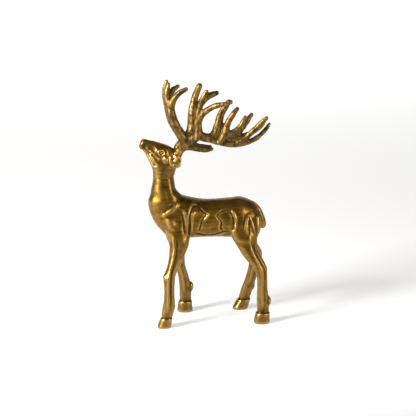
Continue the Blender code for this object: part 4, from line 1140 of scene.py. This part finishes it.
# The paper's glow and its grey, over Y in metres: start, end, value there and value beyond
GLOW_ROUND_STAG = (-0.44, -0.17, 0.05, 0.50)
GLOW_FAR_BEHIND = (0.15, 2.5, 0.0, 0.55)
GREY_ROUND_STAG = (-0.44, -0.17, 0.22, 0.50)
PAPER_ROUGHNESS, PAPER_SHINE = 0.95, 0.1
PAPER_HALF, PAPER_Z = 12.0, -2e-5    # metres: half its edge, and a hair under the soles
CAMERA_AZIMUTH, CAMERA_DISTANCE, CAMERA_HEIGHT = math.radians(8.5), 1340.0, 461.0
CAMERA_AIM = np.array((3.05, 0.0, 115.3))
CAMERA_LENS, CAMERA_SENSOR, CAMERA_REACH = 119.5, 36, 20
# Soft boxes: name, place, size, power in watts, colour
LAMPS = (("left_box", (-960, -440, 600), (360, 420), 36, (1, 0.97, 0.93)),
         ("right_box", (760, -820, 400), (220, 460), 5, (1, 0.97, 0.93)),
         ("back_box", (300, 1500, 900), (1500, 500), 3, (1, 1, 1)))
LAMP_AIM = np.array((0, 0, 110.0))
ROOM_HORIZON, ROOM_TOP, ROOM_TOP_AT = 0.32, 0.17, 0.7    # glow at the horizon, and above it


def lit_paper():
    """White paper that glows evenly round the stag and behind it, and falls away to grey in
    front of it, each by a smooth step over Y.
    """
    paper = bpy.data.materials.new("lit_paper")
    paper.use_nodes = True
    tree = paper.node_tree
    shade = tree.nodes["Principled BSDF"]
    shade.inputs["Roughness"].default_value = PAPER_ROUGHNESS
    shade.inputs["Specular IOR Level"].default_value = PAPER_SHINE
    shade.inputs["Emission Color"].default_value = (1, 1, 1, 1)
    place = tree.nodes.new("ShaderNodeTexCoord")
    split = tree.nodes.new("ShaderNodeSeparateXYZ")
    tree.links.new(place.outputs["Object"], split.inputs["Vector"])

    def ramp(span_and_values):
        """Smooth step over Y, from the first value at its start to the second at its end."""
        step = tree.nodes.new("ShaderNodeMapRange")
        step.interpolation_type = "SMOOTHSTEP"
        for entry, value in zip(("From Min", "From Max", "To Min", "To Max"), span_and_values):
            step.inputs[entry].default_value = value
        tree.links.new(split.outputs["Y"], step.inputs["Value"])
        return step.outputs["Result"]

    both = tree.nodes.new("ShaderNodeMath")
    tree.links.new(ramp(GLOW_ROUND_STAG), both.inputs[0])
    tree.links.new(ramp(GLOW_FAR_BEHIND), both.inputs[1])
    tree.links.new(both.outputs["Value"], shade.inputs["Emission Strength"])
    tree.links.new(ramp(GREY_ROUND_STAG), shade.inputs["Base Color"])
    return paper


def placed(name, data, spot, target):
    """Object for a lamp or camera, at a spot, with its -Z pointing at the target."""
    made = bpy.data.objects.new(name, data)
    bpy.context.scene.collection.objects.link(made)
    made.location = Vector(spot * MM)
    made.rotation_euler = Vector((target - spot) * MM).to_track_quat("-Z", "Y").to_euler()
    return made


def place_camera():
    """Camera low on the stag's left, turned a little towards its head."""
    way = np.array((-math.sin(CAMERA_AZIMUTH) * CAMERA_DISTANCE,
                    -math.cos(CAMERA_AZIMUTH) * CAMERA_DISTANCE, CAMERA_HEIGHT))
    lens = bpy.data.cameras.new("studio_camera")
    lens.lens = CAMERA_LENS
    lens.sensor_width = CAMERA_SENSOR
    lens.clip_end = CAMERA_REACH
    spot = CAMERA_AIM * (1, 1, 0) + way
    bpy.context.scene.camera = placed("studio_camera", lens, spot, CAMERA_AIM)


def lay_paper():
    """One level square of lit paper under the stag."""
    mesh = bpy.data.meshes.new("floor")
    corners = [(x * PAPER_HALF, y * PAPER_HALF, PAPER_Z)
               for x, y in ((-1, -1), (1, -1), (1, 1), (-1, 1))]
    mesh.from_pydata(corners, [], [(0, 1, 2, 3)])
    floor = bpy.data.objects.new("floor", mesh)
    bpy.context.scene.collection.objects.link(floor)
    mesh.materials.append(lit_paper())


def hang_lamps():
    """Soft boxes, each turned to the middle of the stag."""
    for name, place, size, power, colour in LAMPS:
        light = bpy.data.lights.new(name, "AREA")
        light.shape = "RECTANGLE"
        light.size, light.size_y = size[0] * MM, size[1] * MM
        light.energy = power
        light.color = colour
        placed(name, light, np.array(place, float), LAMP_AIM)


def light_room():
    """White room whose glow falls evenly from the horizon up."""
    world = bpy.data.worlds.new("room")
    bpy.context.scene.world = world
    world.use_nodes = True
    tree = world.node_tree
    sky = tree.nodes["Background"]
    way = tree.nodes.new("ShaderNodeTexCoord")
    split = tree.nodes.new("ShaderNodeSeparateXYZ")
    fade = tree.nodes.new("ShaderNodeMapRange")
    fade.inputs["From Min"].default_value = 0.0
    fade.inputs["From Max"].default_value = ROOM_TOP_AT
    fade.inputs["To Min"].default_value = ROOM_HORIZON
    fade.inputs["To Max"].default_value = ROOM_TOP
    tree.links.new(way.outputs["Generated"], split.inputs["Vector"])
    tree.links.new(split.outputs["Z"], fade.inputs["Value"])
    tree.links.new(fade.outputs["Result"], sky.inputs["Strength"])
    sky.inputs["Color"].default_value = (1, 1, 1, 1)
    bpy.context.scene.view_settings.view_transform = "Standard"


make_body()
make_head()
for word, side in SIDES.items():
    make_ear(word, side)
    make_antler(word, side)
make_tail()
dress_cad()
place_camera()
lay_paper()
hang_lamps()
light_room()
